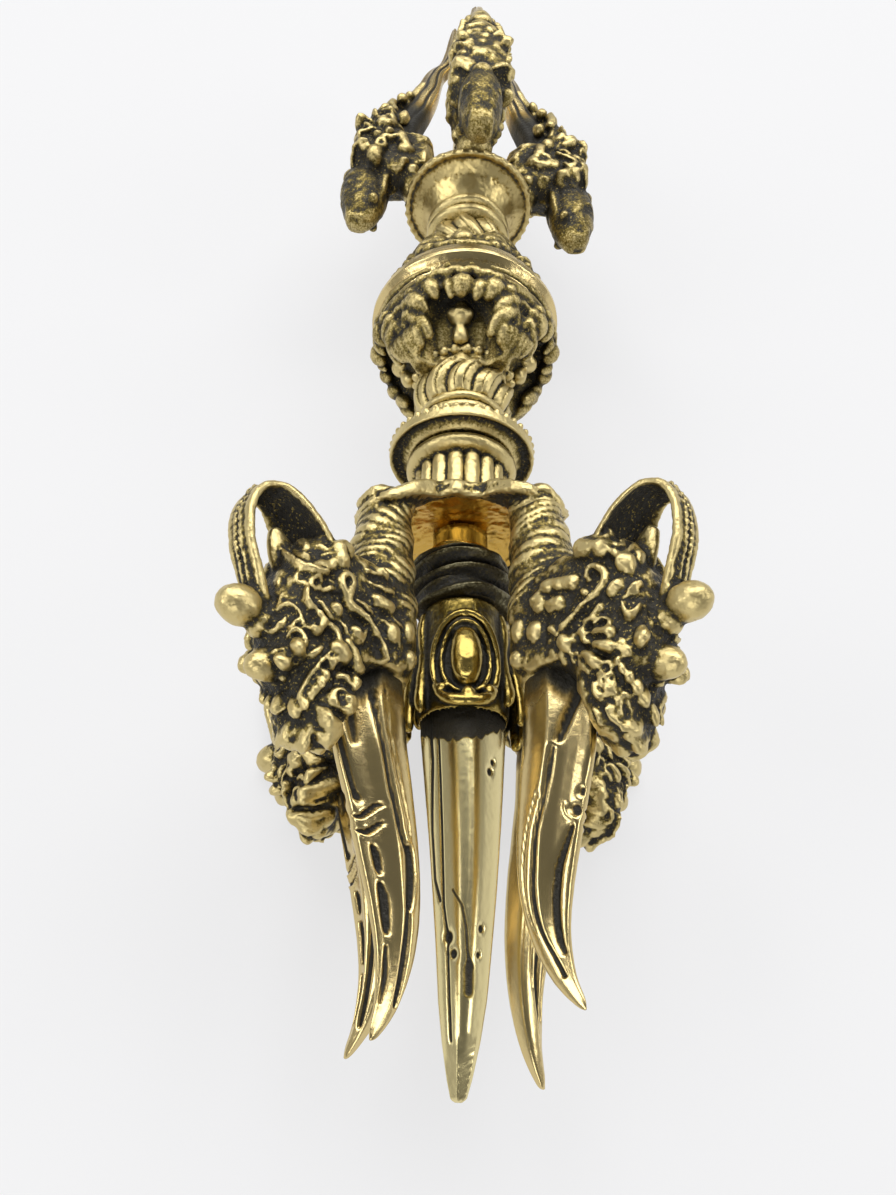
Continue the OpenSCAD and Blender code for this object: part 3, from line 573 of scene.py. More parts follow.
# Round pads under the feet of the prongs
around = circle(60)[None, :]
high = np.linspace(42.5, 45.6, 20)[:, None]
pad_wide = np.interp(high, [42.5, 42.8, 43.1, 44.6, 45.2, 45.6], [3.0, 3.4, 3.6, 3.5, 3.3, 2.9])
pad_wide = pad_wide + 0.18 * np.sin(3.6 * high + around) + 0.1 * np.sin(7 * around)
pad_out = 13.3
pads = [skin(leaned(np.stack([pad_out * np.sin(turn) + pad_wide * np.cos(around),
                              pad_out * np.cos(turn) + pad_wide * np.sin(around),
                              high + 0.3 * np.sin(3 * around + turn)], -1))) for turn in np.radians(turns_of_prongs)]
flange = fused([skin(plate, True)] + pads, 0.25)
corners = np.concatenate([flange[0][flange[1]].mean(1), flange[0][flange[2]].mean(1)])
picks = (corners[:, 2] > 40.6) & (np.hypot(corners[:, 0], corners[:, 1]) < 9.4)
make("near_flange", near, flange, [carved, underside_gold_painted_light], picks=picks, start=0.4, rough=2.6)

# BASE RINGS OF THE SPIKE. Four rough rings round the stem, black with patina, each crooked in its own way. They
# end in a golden edge towards the flange, in the underside's brass that is painted bright as light from below.
# Soot and grease have left only a dull shine on the tops of the beads
black = brass("blackened_cast_brass", "#8f886a", "#45402e", 0.3, 0.5, 0.75)


def crooked(z, a):
    """Beads of radius 6.9, two wide and two thin, with grooves 1.5 deep, tilted and swollen by slow waves round
    the axis."""
    s = z + 0.6 * np.sin(a + 0.6) + 0.4 * np.sin(2 * a + 2 * z)
    bead = np.abs(np.sin(np.pi * np.interp(s, [44.6, 45.2, 48.2, 49.6, 52.0, 54.6, 56], [-0.5, 0, 1, 2, 3, 4, 4.5])))
    ends = 0.5 * np.clip(z - 52.5, 0, 1.5) + 1.3 * np.clip(47.2 - z, 0, 1.2)
    return 6.9 - 1.5 * (1 - bead ** 0.6) - 0.3 * np.sin(3 * a + z) ** 2 + 0.3 * np.sin(a + 2 * z) - ends


stem_bore = 3.78
shell = skin(turned(45.4, 54.0, crooked, 80, 260, stem_bore), True)
# The golden edge takes the flange underside's brass, painted bright as light reflected up from below
golden_edge_painted_light = shell[0][shell[1]].mean(1)[:, 2] < 46.7
make("near_base_rings", wide_claw, shell, [black, underside_gold_painted_light], "dark_brass", picks=golden_edge_painted_light)

# SLEEVE OF THE SPIKE. A cast sleeve with an oval medallion above and below: a bud inside a double border, over
# a curled leaf. On its two sides are wings of long leaves with notched ends, which stand proud of the spike.
# Its brass has darkened to a glossy olive.
olive = brass("olive_darkened_brass", "#ab9552", "#574a1c", 0.26, 0.2, 0.05)


def sleeve_body(z, a):
    """Radius 4.9 at the rings and 5.75 at the middle, closing to 5.35 on the spike."""
    return np.interp(z, [54, 58, 62, 66, 68.5, 69.6], [4.9, 5.3, 5.62, 5.75, 5.6, 5.35]) + 0 * a


t = circle(80)


def oval(w, l, r):
    """A closed egg-shaped path round a medallion at z 63.3: half width w in degrees, half length l, at radius r."""
    r = r + 0.25 * np.cos(t) ** 2 - 0.25 * np.cos(t)
    return on_side(r, w * np.sin(t) * (1 + 0.1 * np.cos(t)), 63.3 + l * np.cos(t))


def border(rows):
    """A raised border: a closed skin through ovals of (half width, half length, radius)."""
    return skin(np.array([oval(*row) for row in rows])[::-1], True)


medal = [border([(43, 6.1, 5.6), (44.5, 6.5, 6.1), (41, 5.9, 6.5), (37, 5.4, 6.2), (37, 5.4, 5.4)]),
         border([(30, 4.8, 5.6), (31, 5.0, 6.1), (28.5, 4.6, 6.45), (26, 4.3, 6.1), (26, 4.3, 5.4)])]
# The bud, two creases on it, and the curled leaf below: radii, angles, stations, half thicknesses and half widths
for r, d, z, thick, broad, round_by in [
        ((5.7, 6.2, 6.4, 6.2, 5.9), 0, (59.2, 61.0, 63.3, 65.6, 67.4),
         (0.6, 1.2, 1.4, 1.2, 0.7), (0.9, 1.6, 1.9, 1.6, 0.7), 16),
        (7.5, (-5, 0, 6), (64.0, 64.5, 63.8), 0.3, None, 10), (7.0, (-7, -2, 3), (65.9, 66.6, 66.0), 0.35, None, 10),
        ((6.1, 6.5, 6.9, 6.9, 6.5, 6.1), (-37, -27, -12, 10, 24, 33), (66.4, 68.3, 69.3, 69.3, 68.5, 67.0),
         (0.5, 0.6, 0.75, 0.75, 0.7, 0.5), None, 10)]:
    medal.append(strand(on_side(r, d, z), thick, broad, round_by))
medal += [ball(on_side(r, d, z), size) for r, d, z, size in [
    (6.7, 1, 68.5, 0.9), (6.4, 25, 67.6, 0.7), (6.3, -27, 67.2, 0.6)]]
# Leaves of one wing: angle from its middle, radius and where it ends
for d, r, end in [(-33, 6.3, 68.6), (-20, 7.2, 70.6), (-7, 7.7, 72.0),
                  (7, 7.6, 71.2), (20, 7.1, 71.6), (33, 6.4, 69.6)]:
    leaf = on_side([5.0, 5.6, r - 0.8, r - 0.2, r + 0.1, r - 0.2], 90 + d * np.array([0.6, 0.75, 0.9, 1, 1.05, 1.05]),
                   [55.0, 58, 62, 65.5, end - 1.4, end])
    medal.append(strand(leaf, [0.5, 0.55, 0.6, 0.65, 0.75, 0.5], [0.5, 0.6, 0.7, 0.7, 0.75, 0.5]))
sleeve = fused([skin(turned(61.2, 69.6, sleeve_body, 40, 240, 5.13, 0.15), True),
                skin(turned(54.0, 62.3, sleeve_body, 40, 240, stem_bore), True)] + spun(medal, 2), 0.2)
make("near_spike_sleeve", wide_claw, sleeve, [olive], start=0.12)

# SPIKE OF THE WIDE CLAW. A heavy cast spike, nearly square with rounded corners, ground and polished. Thin
# grooves run down one corner, a few pits from the casting are left open, and the end is filed to a blunt chisel.
# Ground and polished brass is nearly a mirror, with a faint brown haze where the wheel missed
spike_brass = brass("ground_and_polished_brass", "#dfd09a", "#96803f", 0.25, 0.06, -0.2)
z = np.unique(np.concatenate([np.linspace(42.0, 62, 20), np.linspace(62, 109.5, 250)]))[:, None]
a = circle(320)[None, :]
deg = (np.degrees(a) + 180) % 360 - 180
girth = np.interp(z, [42, 62.4, 62.5, 69, 71, 78.9, 84, 90, 95, 100.2, 104, 107.5, 109.2, 109.5],
                  [3.7, 3.7, 5.0, 5.0, 5.0, 4.35, 3.9, 3.4, 2.95, 2.5, 1.95, 1.25, 0.8, 0.35])
square = np.clip((z - 62.4) / 3, 0, 1)
r = girth * (1 - square * (0.05625 * np.cos(4 * a + np.pi) + 0.035))
# The face left of the top is ground a little flatter than the rest
r = r * (1 - 0.02 * np.clip((z - 70) / 8, 0, 1) * np.exp(-((deg + 38) / 22) ** 2))


def along_line(line, wide):
    """Closeness to a line of places (degrees, z) on the spike: exp(-(distance over a half width in mm)^2)."""
    turn, station = np.array(line, float).T
    off = (deg - np.interp(z, station, turn)) * np.radians(1) * girth / wide
    past = np.maximum(station[0] - z, z - station[-1]) / wide
    return np.exp(-off ** 2 - np.clip(past, 0, 9) ** 2)


grooves = np.maximum(along_line([(-60, 68.1), (-60, 74.9), (-73, 82.8), (-74, 88.2), (-62, 90.5)], 0.28),
                     along_line([(-45, 72.9), (-48, 79.9), (-51, 86.5), (-53, 91.1), (-47, 93.7), (-43, 99.5),
                                 (-42, 104.1)], 0.2))
grooves = np.maximum(grooves, 0.2 * along_line([(6, 75.8), (6, 83.6), (5, 88.9), (2, 91.4)], 0.16))
grooves = np.maximum(grooves, 0.8 * along_line([(118, 70), (122, 84), (128, 100)], 0.25))
streak = (along_line([(-27, 89.8), (-9, 91.4), (0, 93.9), (3, 95.8), (10, 97.3)], 0.3) +
          along_line([(8, 97.6), (10, 99.8)], 0.8))
filed = np.clip((z - 103.6) / 2.4, 0, 1)
chisel = np.minimum(r, (girth * 0.76) / np.maximum(np.cos(a - 0.35), 0.2))
chisel = np.minimum(chisel, (girth * 0.82) / np.maximum(np.cos(a + 0.8), 0.2))
r = r * (1 - filed) + chisel * filed - 0.03 * filed * np.sin(z * 9 + 6 * np.sin(a)) * (np.abs(deg - 25) < 35)
pits = 0 * r
for spot, station, size in ((-43, 94.4, 0.65), (-29, 96.1, 0.5), (43, 76.5, 0.45), (49, 75.3, 0.35), (36, 93.6, 0.4),
                            (32, 96.2, 0.3), (150, 80, 0.4)):
    away = ((deg - spot) * np.radians(1) * girth) ** 2 + (z - station) ** 2
    pits = np.maximum(pits, np.exp(-away / size ** 2))
r = r - 0.16 * grooves - 0.4 * pits
bend = -1.0 * np.clip((z - 80) / 29.5, 0, 1) ** 2
spike = leaned(np.stack([r * np.sin(a) + bend, r * np.cos(a), z + 0 * a], -1))
# A sooty skirt with a ragged edge is left under the sleeve, and the stem is clean from there to the flange
ragged = 0.5 * np.abs(np.sin(11 * a + 0.5)) * np.abs(np.sin(4.5 * a)) - 0.6 * np.sin(a)
skirt = np.clip((70.9 + 2.6 * np.abs(np.cos(a)) ** 1.5 + ragged - z) / 0.5, 0, 1) * (z > 48)
soot_and_shade = np.clip(np.maximum.reduce([grooves * 1.1, pits * 1.2, 0.8 * np.clip(streak, 0, 1), 0.8 * skirt]), 0, 1)
soot_and_shade = np.append(soot_and_shade.ravel(), [1, 0])
make("near_spike", near, skin(spike), [spike_brass], rub=lambda w: 0.65 + 0.3 * (w - 0.5) - 1.3 * soot_and_shade,
     start=0.5, rough=0.2)

# PRONGS OF THE WIDE CLAW. Four castings, each a sea-dragon's head on a ribbed neck. The trunk loops back over
# a hollow hood to a polished ball, and a long blade leaves the mouth, bends in and flares out at its tip.
def hood(rows, n=70, sides=44):
    """A strap along a path of rows (out, along, half width, half thickness, dish). Its section is a flat oval
    with a hollow middle between thick edges, whose sides rise by the dish times the square of the share across."""
    path = smooth(rows, n)
    c = path[:, :2]
    d = np.gradient(c, axis=0)
    d /= np.linalg.norm(d, axis=1)[:, None]
    v = circle(sides)[None, :]
    w, thick, deep = path[:, 2:3], path[:, 3:4], path[:, 4:5]
    edges = 0.75 + 0.5 * np.cos(v) ** 4
    lift = thick * np.sign(np.sin(v)) * np.abs(np.sin(v)) ** 0.8 * edges + deep * np.cos(v) ** 2
    lift = lift + np.where(np.sin(v) < 0, 0.4 * np.exp(-(np.cos(v) / 0.42) ** 2), 0)
    return skin(np.stack([w * np.cos(v), c[:, :1] - d[:, 1:2] * lift, c[:, 1:2] + d[:, :1] * lift], -1))


def carve(places, strokes, rise=0.0):
    """Height of a carving at places (out, along), which move by rise for each mm of a stroke's height. Each stroke
    is a line whose half width narrows to 0.55 of itself at the ends. Ridges take the highest h sqrt(1 - (d / w)^2)
    at distance d from the line, and cuts add h exp(-(d / w)^2)."""
    high, low = np.zeros(places.shape[:-1]), np.zeros(places.shape[:-1])
    for half, h, *line in strokes:
        line = np.reshape(line, (-1, 2))
        at = places + h * rise
        path = smooth(line, max(2, 4 * len(line) - 3))
        near_to = np.full(at.shape[:-1], 99.0)
        for k, (p, q) in enumerate(zip(path[:-1], path[1:])):
            span = q - p
            f = np.clip(((at - p) @ span) / max(span @ span, 1e-6), 0, 1)
            share = 2 * (k + f) / (len(path) - 1) - 1
            taper = 1 - 0.45 * share ** 2 if len(line) > 2 else 1.0
            near_to = np.minimum(near_to, np.linalg.norm(at - p - f[..., None] * span, axis=-1) / (half * taper))
        if h > 0:
            high = np.maximum(high, h * np.sqrt(np.clip(1 - near_to ** 2, 0, 1)))
        else:
            low += h * np.exp(-near_to ** 2)
    return high + low


# Strokes of the left cheek's carving, in mm: half width, height, then out and along of each place on the line.
# A height below 0 is cut in
left_cheek = [
    (0.5, 1.3, 33, 58.9, 31.9, 60.1, 30.3, 61.2, 28.6, 61.6, 26.9, 61.7, 25.3, 61.5),
    (1, 0.9, 26.7, 61, 25.4, 60.5, 24.4, 59.5), (0.45, 0.7, 24.2, 60.6, 23.8, 59.3, 24.5, 58.6, 25.6, 59),
    (0.7, -0.8, 26.6, 59.6, 26, 59.3), (0.5, 0.6, 30.7, 57.6, 29.2, 57.9, 28.1, 58.6),
    (0.3, 0.5, 30.9, 58.5, 29.2, 59.8, 27.7, 59.9, 26.5, 58.7), (0.4, 0.5, 28.5, 57.7, 27.8, 58.3),
    (0.4, 0.5, 26.6, 56.5, 25, 56.7, 24.5, 57.3), (0.3, 0.4, 26.2, 57.6, 24.8, 58.3, 23.4, 58.7),
    (1.2, 1.4, 23.8, 57.4, 23.4, 59.1),
    (0.25, 0.6, 25.6, 62.6, 25.9, 63.3, 26.5, 63.6, 26.9, 63.2, 26.6, 62.5, 26, 62.3, 25.6, 62.6),
    (0.25, 0.45, 27, 62.3, 27.3, 63, 27.9, 63.5, 28.6, 63.6, 29, 63.2, 28.7, 62.6, 28.1, 62.1, 27.4, 62, 27, 62.3),
    (0.5, 0.9, 27.4, 63.8, 27.6, 65.1, 27.3, 65.8, 26.3, 66.1), (0.3, 0.5, 25.5, 63.5, 24.2, 62.7, 23.4, 62.9),
    (0.4, 0.5, 24.6, 61.9, 23.5, 62),
    (0.7, 1.3, 22.9, 62.9, 23.4, 61.6, 22.7, 60.5, 21.8, 60.9, 22, 62, 22.4, 63.2, 21.9, 64, 20.6, 64.3, 19.3, 65,
      18.2, 66.2), (0.4, 1, 18, 66, 17.1, 67.1, 16.4, 68.6), (0.45, 0.8, 21.4, 63.1, 20, 63, 18.6, 63.4),
    (0.8, 1.2, 23.7, 65.1, 23.5, 65.2), (0.3, 0.7, 25.5, 64.8, 24.9, 65.6, 24.1, 66.3, 22.9, 66.2),
    (0.45, 0.9, 22.7, 66.6, 22, 67.5, 21.1, 68.1, 20.1, 67.5, 19.6, 66.2), (0.8, 1.2, 21, 66.9, 20.8, 67.1),
    (1.25, 1.7, 28.8, 71.7, 28.6, 71.8), (0.35, 1, 29.8, 70.8, 29.3, 70, 28.4, 69.3, 27.3, 70.2, 27.2, 70.9),
    (0.3, 0.7, 29.9, 71.9, 29.4, 72.5, 28.6, 72.9), (1.2, 1.6, 30.6, 74.2, 30.4, 74.3),
    (0.3, 0.8, 31.6, 74.4, 31.3, 73.3, 30.3, 72.3), (0.3, 0.7, 32, 71, 30.8, 69.9, 29.8, 68.1),
    (0.3, 0.6, 30.9, 67.9, 30.2, 66.8, 29, 66.6, 27.9, 67.3, 27.4, 68.7), (0.25, 0.6, 29.3, 69.4, 28.2, 68),
    (0.3, 0.5, 31.5, 68.7, 30.9, 67.1, 30.6, 65.8), (0.6, 1, 26.7, 68.5, 25.7, 68.6, 25.2, 67.3, 25.8, 66.5),
    (0.6, 0.9, 24.4, 67.3, 23.4, 67.8, 23.2, 69), (0.55, 0.8, 25.2, 70.4, 26.9, 72.5, 27.7, 73.9, 28.5, 75.3),
    (0.35, 0.9, 24, 70.4, 25.8, 73, 26.9, 75.1, 27.6, 76.9), (0.7, 0.9, 29.4, 76, 29.1, 76),
    (0.6, 0.7, 27.8, 73.5, 27.7, 73.7), (0.45, -0.9, 25.8, 71.5, 27.1, 73.8, 28.3, 75.9),
    (0.5, -0.9, 22.8, 71.6, 24.2, 75.7, 26, 78.6, 26.7, 79.8), (0.75, 1.1, 24.4, 73.1, 24.3, 73.3),
    (0.7, 1.1, 25.2, 74.3, 24.9, 74.4), (0.65, 1.1, 25.8, 75.4, 25.6, 75.5), (0.6, 1, 26.3, 76.2, 26, 76.3),
    (0.85, 1.4, 27.2, 77.7, 27.1, 77.9), (1, 1.5, 28.4, 79.1, 28.2, 79.4), (1.2, 1.5, 23, 69.8, 22.5, 70.3),
    (1.1, 1.1, 23.3, 71.3, 23.1, 71.3), (0.85, 1.2, 22.1, 68.5, 20.9, 69.8, 20.1, 71.6, 20.6, 73.6),
    (0.5, 0.7, 22.8, 72.5, 21.8, 72.4, 21, 73.2), (0.35, -0.7, 23.1, 71.7, 21.6, 71.4, 20.2, 71.1),
    (1.2, 1.4, 21.5, 74.8, 20.8, 75.6, 21.5, 76.6), (0.4, 0.8, 24.2, 76.2, 23.8, 74.9, 22.4, 74, 21.5, 74.1),
    (0.9, 0.8, 22.9, 75.4, 22.4, 76.1), (0.35, -0.8, 23.2, 76.3, 21.6, 76.3, 20.6, 76.7),
    (0.4, 0.7, 23, 76.4, 21.9, 76.6, 21, 77.2), (1.7, 1.5, 23.8, 78.4, 23, 78.9),
    (1.2, 1.5, 23, 78.9, 23.3, 80.2, 23.8, 81.4), (1, 1.2, 24.9, 80.5, 24.7, 80.6),
    (0.4, 1.5, 24.9, 77.7, 23.4, 78.1, 22, 78.2), (0.8, 0.6, 25.4, 77.9, 25.7, 79.9, 24.9, 81.1, 23.6, 81.6),
    (0.4, -0.7, 24.5, 77.9, 24.6, 79.2, 25, 80.6), (1.5, 1.7, 27.5, 83.2, 26.5, 82.7),
    (0.8, 1.2, 26.3, 82.5, 25, 82.6, 23.9, 81.9), (0.4, -0.7, 25.1, 83, 23.3, 82.1),
    (0.25, 0.5, 28.5, 77.8, 28.5, 79.8, 27.5, 81.2, 27.5, 82.8, 26.6, 83.7),
    (0.3, -0.6, 27.8, 80.5, 26.4, 80.4, 25.7, 80.7), (0.5, 0.5, 32.4, 72.5, 31.8, 73.3),
    (0.9, 0.9, 17.8, 61.6, 16.1, 61.6), (0.35, 0.6, 18.9, 59.6, 17.1, 59.6, 15.4, 59.4),
    (0.3, 0.6, 19.3, 58.2, 17.5, 57.9), (0.6, 0.8, 17.4, 57.4, 16.8, 57.6),
    (0.35, 0.6, 17, 63.7, 15.2, 64.3, 14.5, 65.9), (0.3, 0.5, 15.8, 62.6, 14.1, 63.5)]
# The right cheek was carved by eye and differs
right_cheek = [
    (1.5, 1.2, 23.3, 57.3, 25.7, 58.4), (0.6, 1.2, 22.7, 57.1, 23.6, 55.7, 25.2, 55.3, 26.8, 55.8, 27.5, 56.5),
    (0.9, -1.2, 24.4, 55.3, 25.6, 55.5), (0.4, 1, 24.2, 56, 25.5, 56.9, 26.7, 56.8, 27.5, 56.4),
    (0.6, 1.3, 25.8, 57.6, 26.9, 59.4, 28.3, 60.5, 29.5, 60.1, 30.3, 59.5), (1.2, 1.4, 28.3, 61.1, 29.2, 61.6),
    (0.8, 1, 30.5, 60.2, 30.9, 61.3), (0.4, 0.5, 29.3, 57.8, 29.8, 57.6), (0.35, 0.5, 28.1, 58.1, 28.5, 58),
    (0.35, 0.5, 27.6, 58.6, 28.4, 58.7), (0.4, 0.5, 26.7, 57.9, 26.9, 58.2),
    (0.55, 1.1, 23.4, 61.3, 23.8, 60.4, 24.8, 60.5, 25.6, 61.8, 25.4, 62.9, 24.4, 63.7, 23, 64.3, 21.6, 64.9),
    (0.45, 1, 21.5, 64.9, 20.2, 65.6, 19.3, 65.9), (0.35, 0.5, 22.4, 62.5, 22.7, 62.8),
    (0.2, 0.5, 25.7, 62.8, 24.6, 64.1, 23.5, 64.6), (0.25, 0.5, 22.9, 65.4, 24, 64.9),
    (0.7, 0.9, 26.1, 64.2, 27, 63.6), (0.55, 0.8, 28.2, 64.9, 29.4, 64.6, 30.1, 64.5),
    (0.25, 0.5, 27.3, 65.3, 28.3, 65.3, 29.5, 65.6),
    (0.55, 1.1, 27.5, 66, 27.7, 67.1, 28.5, 68, 29.5, 67.5, 29.8, 67.1), (0.6, 0.9, 24.6, 65.2, 24.1, 66, 23, 66.5),
    (0.5, 0.8, 22.6, 66.4, 23.5, 66.3), (0.8, 1.3, 23.9, 68.4, 25.5, 69),
    (0.3, 0.8, 23.5, 67.3, 24.6, 66.8, 25.5, 67.5, 25.5, 68.7), (0.75, 1.2, 23.7, 69.8, 25.4, 70.5),
    (0.75, 1.2, 22.4, 70.1, 23.3, 71.6), (0.3, -0.8, 22.8, 68.4, 25, 69.3), (0.3, -0.8, 22, 69.2, 24.4, 70.9),
    (1, 1.1, 17.8, 60, 21.3, 60.9), (1.2, 1.1, 16.4, 61.1, 16.7, 61.6), (1, 1, 18.3, 62.5, 19.4, 62.7),
    (0.2, 0.4, 18.3, 61.4, 19.7, 62, 20.9, 62.2), (1, 1.2, 19.6, 67.6, 20, 68.1), (0.4, 0.6, 17.8, 65.2, 18.6, 66.3),
    (0.35, 0.6, 20.8, 67.2, 21.2, 68.3), (0.7, 0.9, 21.9, 67.3, 22.4, 68.6), (0.5, 0.8, 22.8, 68, 22.8, 69),
    (1.25, 1.7, 30.1, 71.3, 30.2, 71.5), (0.35, 0.9, 28.4, 71, 29.1, 69.9, 30, 69.9),
    (0.9, 0.6, 26.4, 70.6, 27, 71.7), (0.45, 0.9, 26, 72.3, 26.1, 72.6), (0.55, 1, 26.7, 73.5, 26.7, 73.8),
    (0.7, 1.2, 27.5, 74.9, 27.6, 75.2), (0.8, 1.3, 28.5, 76.6, 28.5, 76.8), (0.95, 1.4, 29.3, 78.3, 29.3, 78.7),
    (0.25, 0.6, 25.2, 72.8, 24.7, 73.4, 24, 73.1, 23.8, 72.3, 24.2, 71.8, 24.9, 72.1, 25.2, 72.8),
    (0.25, 0.6, 23.3, 72.6, 23.6, 73.8, 24.3, 75, 24.1, 75.3), (0.25, 0.5, 23.5, 75.3, 24.6, 75.2, 25.4, 74.7),
    (0.5, 0.9, 23, 73.8, 23, 74.6, 23.4, 75.5), (0.2, 0.5, 25.2, 73.5, 25.3, 74.7, 25, 76),
    (0.2, 0.5, 25.9, 75.3, 25.8, 77, 25.3, 78.7), (0.25, 0.6, 26.5, 76.2, 27.5, 77.8, 27, 78.8),
    (0.25, 0.6, 26.6, 76.8, 26.9, 78.6), (0.2, 0.5, 24.3, 73.4, 24.8, 75.1), (0.2, 0.5, 25.2, 76.3, 26, 78.9),
    (0.45, 1, 24.2, 76.9, 24.6, 78.2, 25.4, 79.3, 25.8, 80.1), (0.2, 0.7, 24.4, 76.7, 25.1, 77.8, 25.4, 79),
    (0.75, 1.4, 26, 80.5, 27, 80.7, 27.8, 81.5, 28.5, 81.2), (1.1, 1, 26.6, 81.3, 27.5, 81.8),
    (0.3, 0.6, 28.1, 80.2, 28.4, 81.3), (0.35, 0.6, 18.9, 68.9, 19.1, 70.1),
    (0.5, 0.5, 20.9, 69.4, 21.6, 71, 22.2, 72.2), (0.3, 0.5, 20.2, 68.8, 20.3, 70.3),
    (0.3, 0.6, 22.3, 76.2, 22.8, 77.3, 23, 78.6)]
neck = smooth([[13.2, 43.3, 3.1], [13.4, 46.5, 3.35], [13.8, 51, 3.8], [14.0, 56, 4.2], [13.6, 61.5, 4.3],
               [13.2, 66, 3.9], [13.4, 69, 3.0]], 130)
out, along, thick = neck[:, :1], neck[:, 1:2], neck[:, 2:3]
v = circle(60)[None, :]
wave = along + 1.1 * np.cos(v) + 0.45 * np.sin(2 * v + 0.7 * along)
deep = (0.065 + 0.045 * np.sin(3 * v + 1.3 * along)) * (along < 60.5)
ribbed = thick * (0.98 + deep * np.abs(np.sin(np.pi * wave / 1.3)) ** 0.7)
heads = [skin(np.stack([ribbed * np.sin(v), out + ribbed * np.cos(v), along + 0 * v], -1))]
# The head as a thick plate: an outline (out, along) round a middle, swelling inwards from its edge, and carved on
# both cheeks
middle = np.array([23.0, 69.0])
rim = smooth([(29.2, 66.5), (29.0, 68.5), (28.7, 70.5), (28.2, 72.2), (26.6, 73.2), (25.8, 74.4), (25.2, 75.8),
              (24.8, 77.2), (23.8, 78.3), (22.3, 78.6), (20.8, 77.8), (20, 76.4), (19.6, 74.8), (19, 72.9),
              (18.6, 71.1), (17.4, 69.6), (15.5, 68.8), (12, 68.5), (10.6, 66), (10, 60), (12, 57), (17, 55),
              (22, 55), (25.5, 55.3), (27.6, 58.3), (29, 61.5), (29.4, 64)], 420, True)
outward = (rim - middle) / np.linalg.norm(rim - middle, axis=1)[:, None]
share = np.concatenate([np.linspace(0.02, 0.8, 46), 1 - 0.2 * np.linspace(1, 0, 25)[1:] ** 1.6])[:, None, None]
at = middle + (rim - middle) * share
inner = (1 - share[..., 0]) * np.linalg.norm(rim - middle, axis=1)
# Half thickness of the plate at its middle and its edge, and the width over which it swells between them
middle_half, edge_half, swells_over = 4.3, 0.5, 3.2
full = middle_half - 0.9 * np.clip((at[..., 0] - 27) / 5, 0, 1) - 0.8 * np.clip((at[..., 1] - 74) / 8, 0, 1)
gap = np.clip(1 - inner / swells_over, 0, 1)
arch = np.sqrt(1 - gap ** 2)
swell = edge_half + (full - edge_half) * arch
slope = (full - edge_half) * gap / (swells_over * np.maximum(arch, 0.05))


def cheek(strokes, way, seed):
    """One cheek: the plate's side, raised along its normal by the carving, which was laid on slanting towards
    the rim."""
    steep = np.sqrt(1 + slope ** 2)[..., None]
    slant = np.array([0.62, 0.57])
    place = at + (middle_half - swell)[..., None] * slant
    lift = carve(place, strokes, (1 - 1 / steep) * slant + slope[..., None] / steep * outward)
    lift = (lift + 0.2 * grain(np.dstack([place, 0 * swell]), 0.7, seed)) / steep[..., 0]
    return np.dstack([way * (swell + lift), at + (lift * slope)[..., None] * outward])


heads += [skin(np.concatenate([cheek(left_cheek, 1, 5), cheek(right_cheek, -1, 6)[::-1]]))]
heads += [ball((0, 17.6, 61.5), 1, (4.3, 4.6, 6.0), 24), ball((0, 22.0, 60.5), 1, (4.0, 4.4, 5.6), 24),
          strand([(0, 24.5, 60.5), (0, 26.8, 58.8), (0, 28.4, 56.9), (0, 29.3, 55.0)],
                 [3.4, 2.6, 1.6, 0.7], [1.6, 1.1, 0.9, 0.6], 24)]
heads += [hood([[21.6, 60.5, 4.2, 1.2, 1.2], [22.6, 56.8, 4.6, 1.0, 1.8], [24.2, 53.6, 4.4, 0.9, 2.2],
                [26.8, 51.0, 3.7, 0.8, 1.9], [29.8, 50.1, 2.9, 0.75, 1.0], [32.3, 51.6, 2.4, 0.75, 0.3],
                [33.3, 54.8, 2.2, 0.75, 0], [32.9, 58.6, 2.1, 0.75, 0], [31.6, 61.8, 2.0, 0.85, 0],
                [30.4, 64.6, 1.8, 1.0, 0], [29.2, 66.8, 1.4, 1.1, 0]])]
heads += [ball((0, 32.1, 66.1), 2.15, (1, 1.28, 1), 26), strand([(0, 27.8, 67.4), (0, 31.2, 66.6)], [2.1, 1.7]),
          strand([(0, 26.0, 70.6), (0, 30.6, 72.6)], [2.4, 1.35])]
dots = smooth([[32.6, 51.2], [33.75, 54.8], [33.35, 58.7], [32.2, 62.0], [31.6, 63.4]], 19)
heads += [ball((x, *p), 0.33, turns=8) for p in dots for x in (-0.45, 0.45)]
for way in (-1, 1):
    heads += [ball((way * x, r, z), s, k) for x, r, z, s, k in [
        (4.3, 22.8, 57.0, 1.3, (0.8, 1, 1)), (4.1, 15.4, 64.6, 1.3, (0.8, 1, 1.2)),
        (3.6, 12.4, 66.6, 1.2, (1, 1, 1)), (4.0, 13.0, 63.4, 1.2, (0.8, 1, 1.3))]]
head = fused(heads, 0.235)


def blade(rows, n, sides):
    """A blade along rows (out, along, half width, half thickness): at angle v its section is cos v of the half width
    in the plane and |sin v| ^ 0.4 of the half thickness across, flat on the inner part and hollowed to a thin
    outer edge. Returns points and v."""
    path = smooth(rows, n)
    d = np.gradient(path[:, :2], axis=0)
    d /= np.linalg.norm(d, axis=1)[:, None]
    v = circle(sides)[None, :]
    s = np.cos(v)
    hollowed = np.interp(s, [-1, 0.1, 0.2, 0.42, 0.7, 1], [1, 1, 0.86, 0.6, 0.42, 0.36])
    x = path[:, 3:4] * np.sign(np.sin(v)) * np.abs(np.sin(v)) ** 0.4 * hollowed
    out = path[:, :1] + d[:, 1:2] * path[:, 2:3] * s
    along = path[:, 1:2] - d[:, :1] * path[:, 2:3] * s
    return np.stack([x, out, along], -1), v


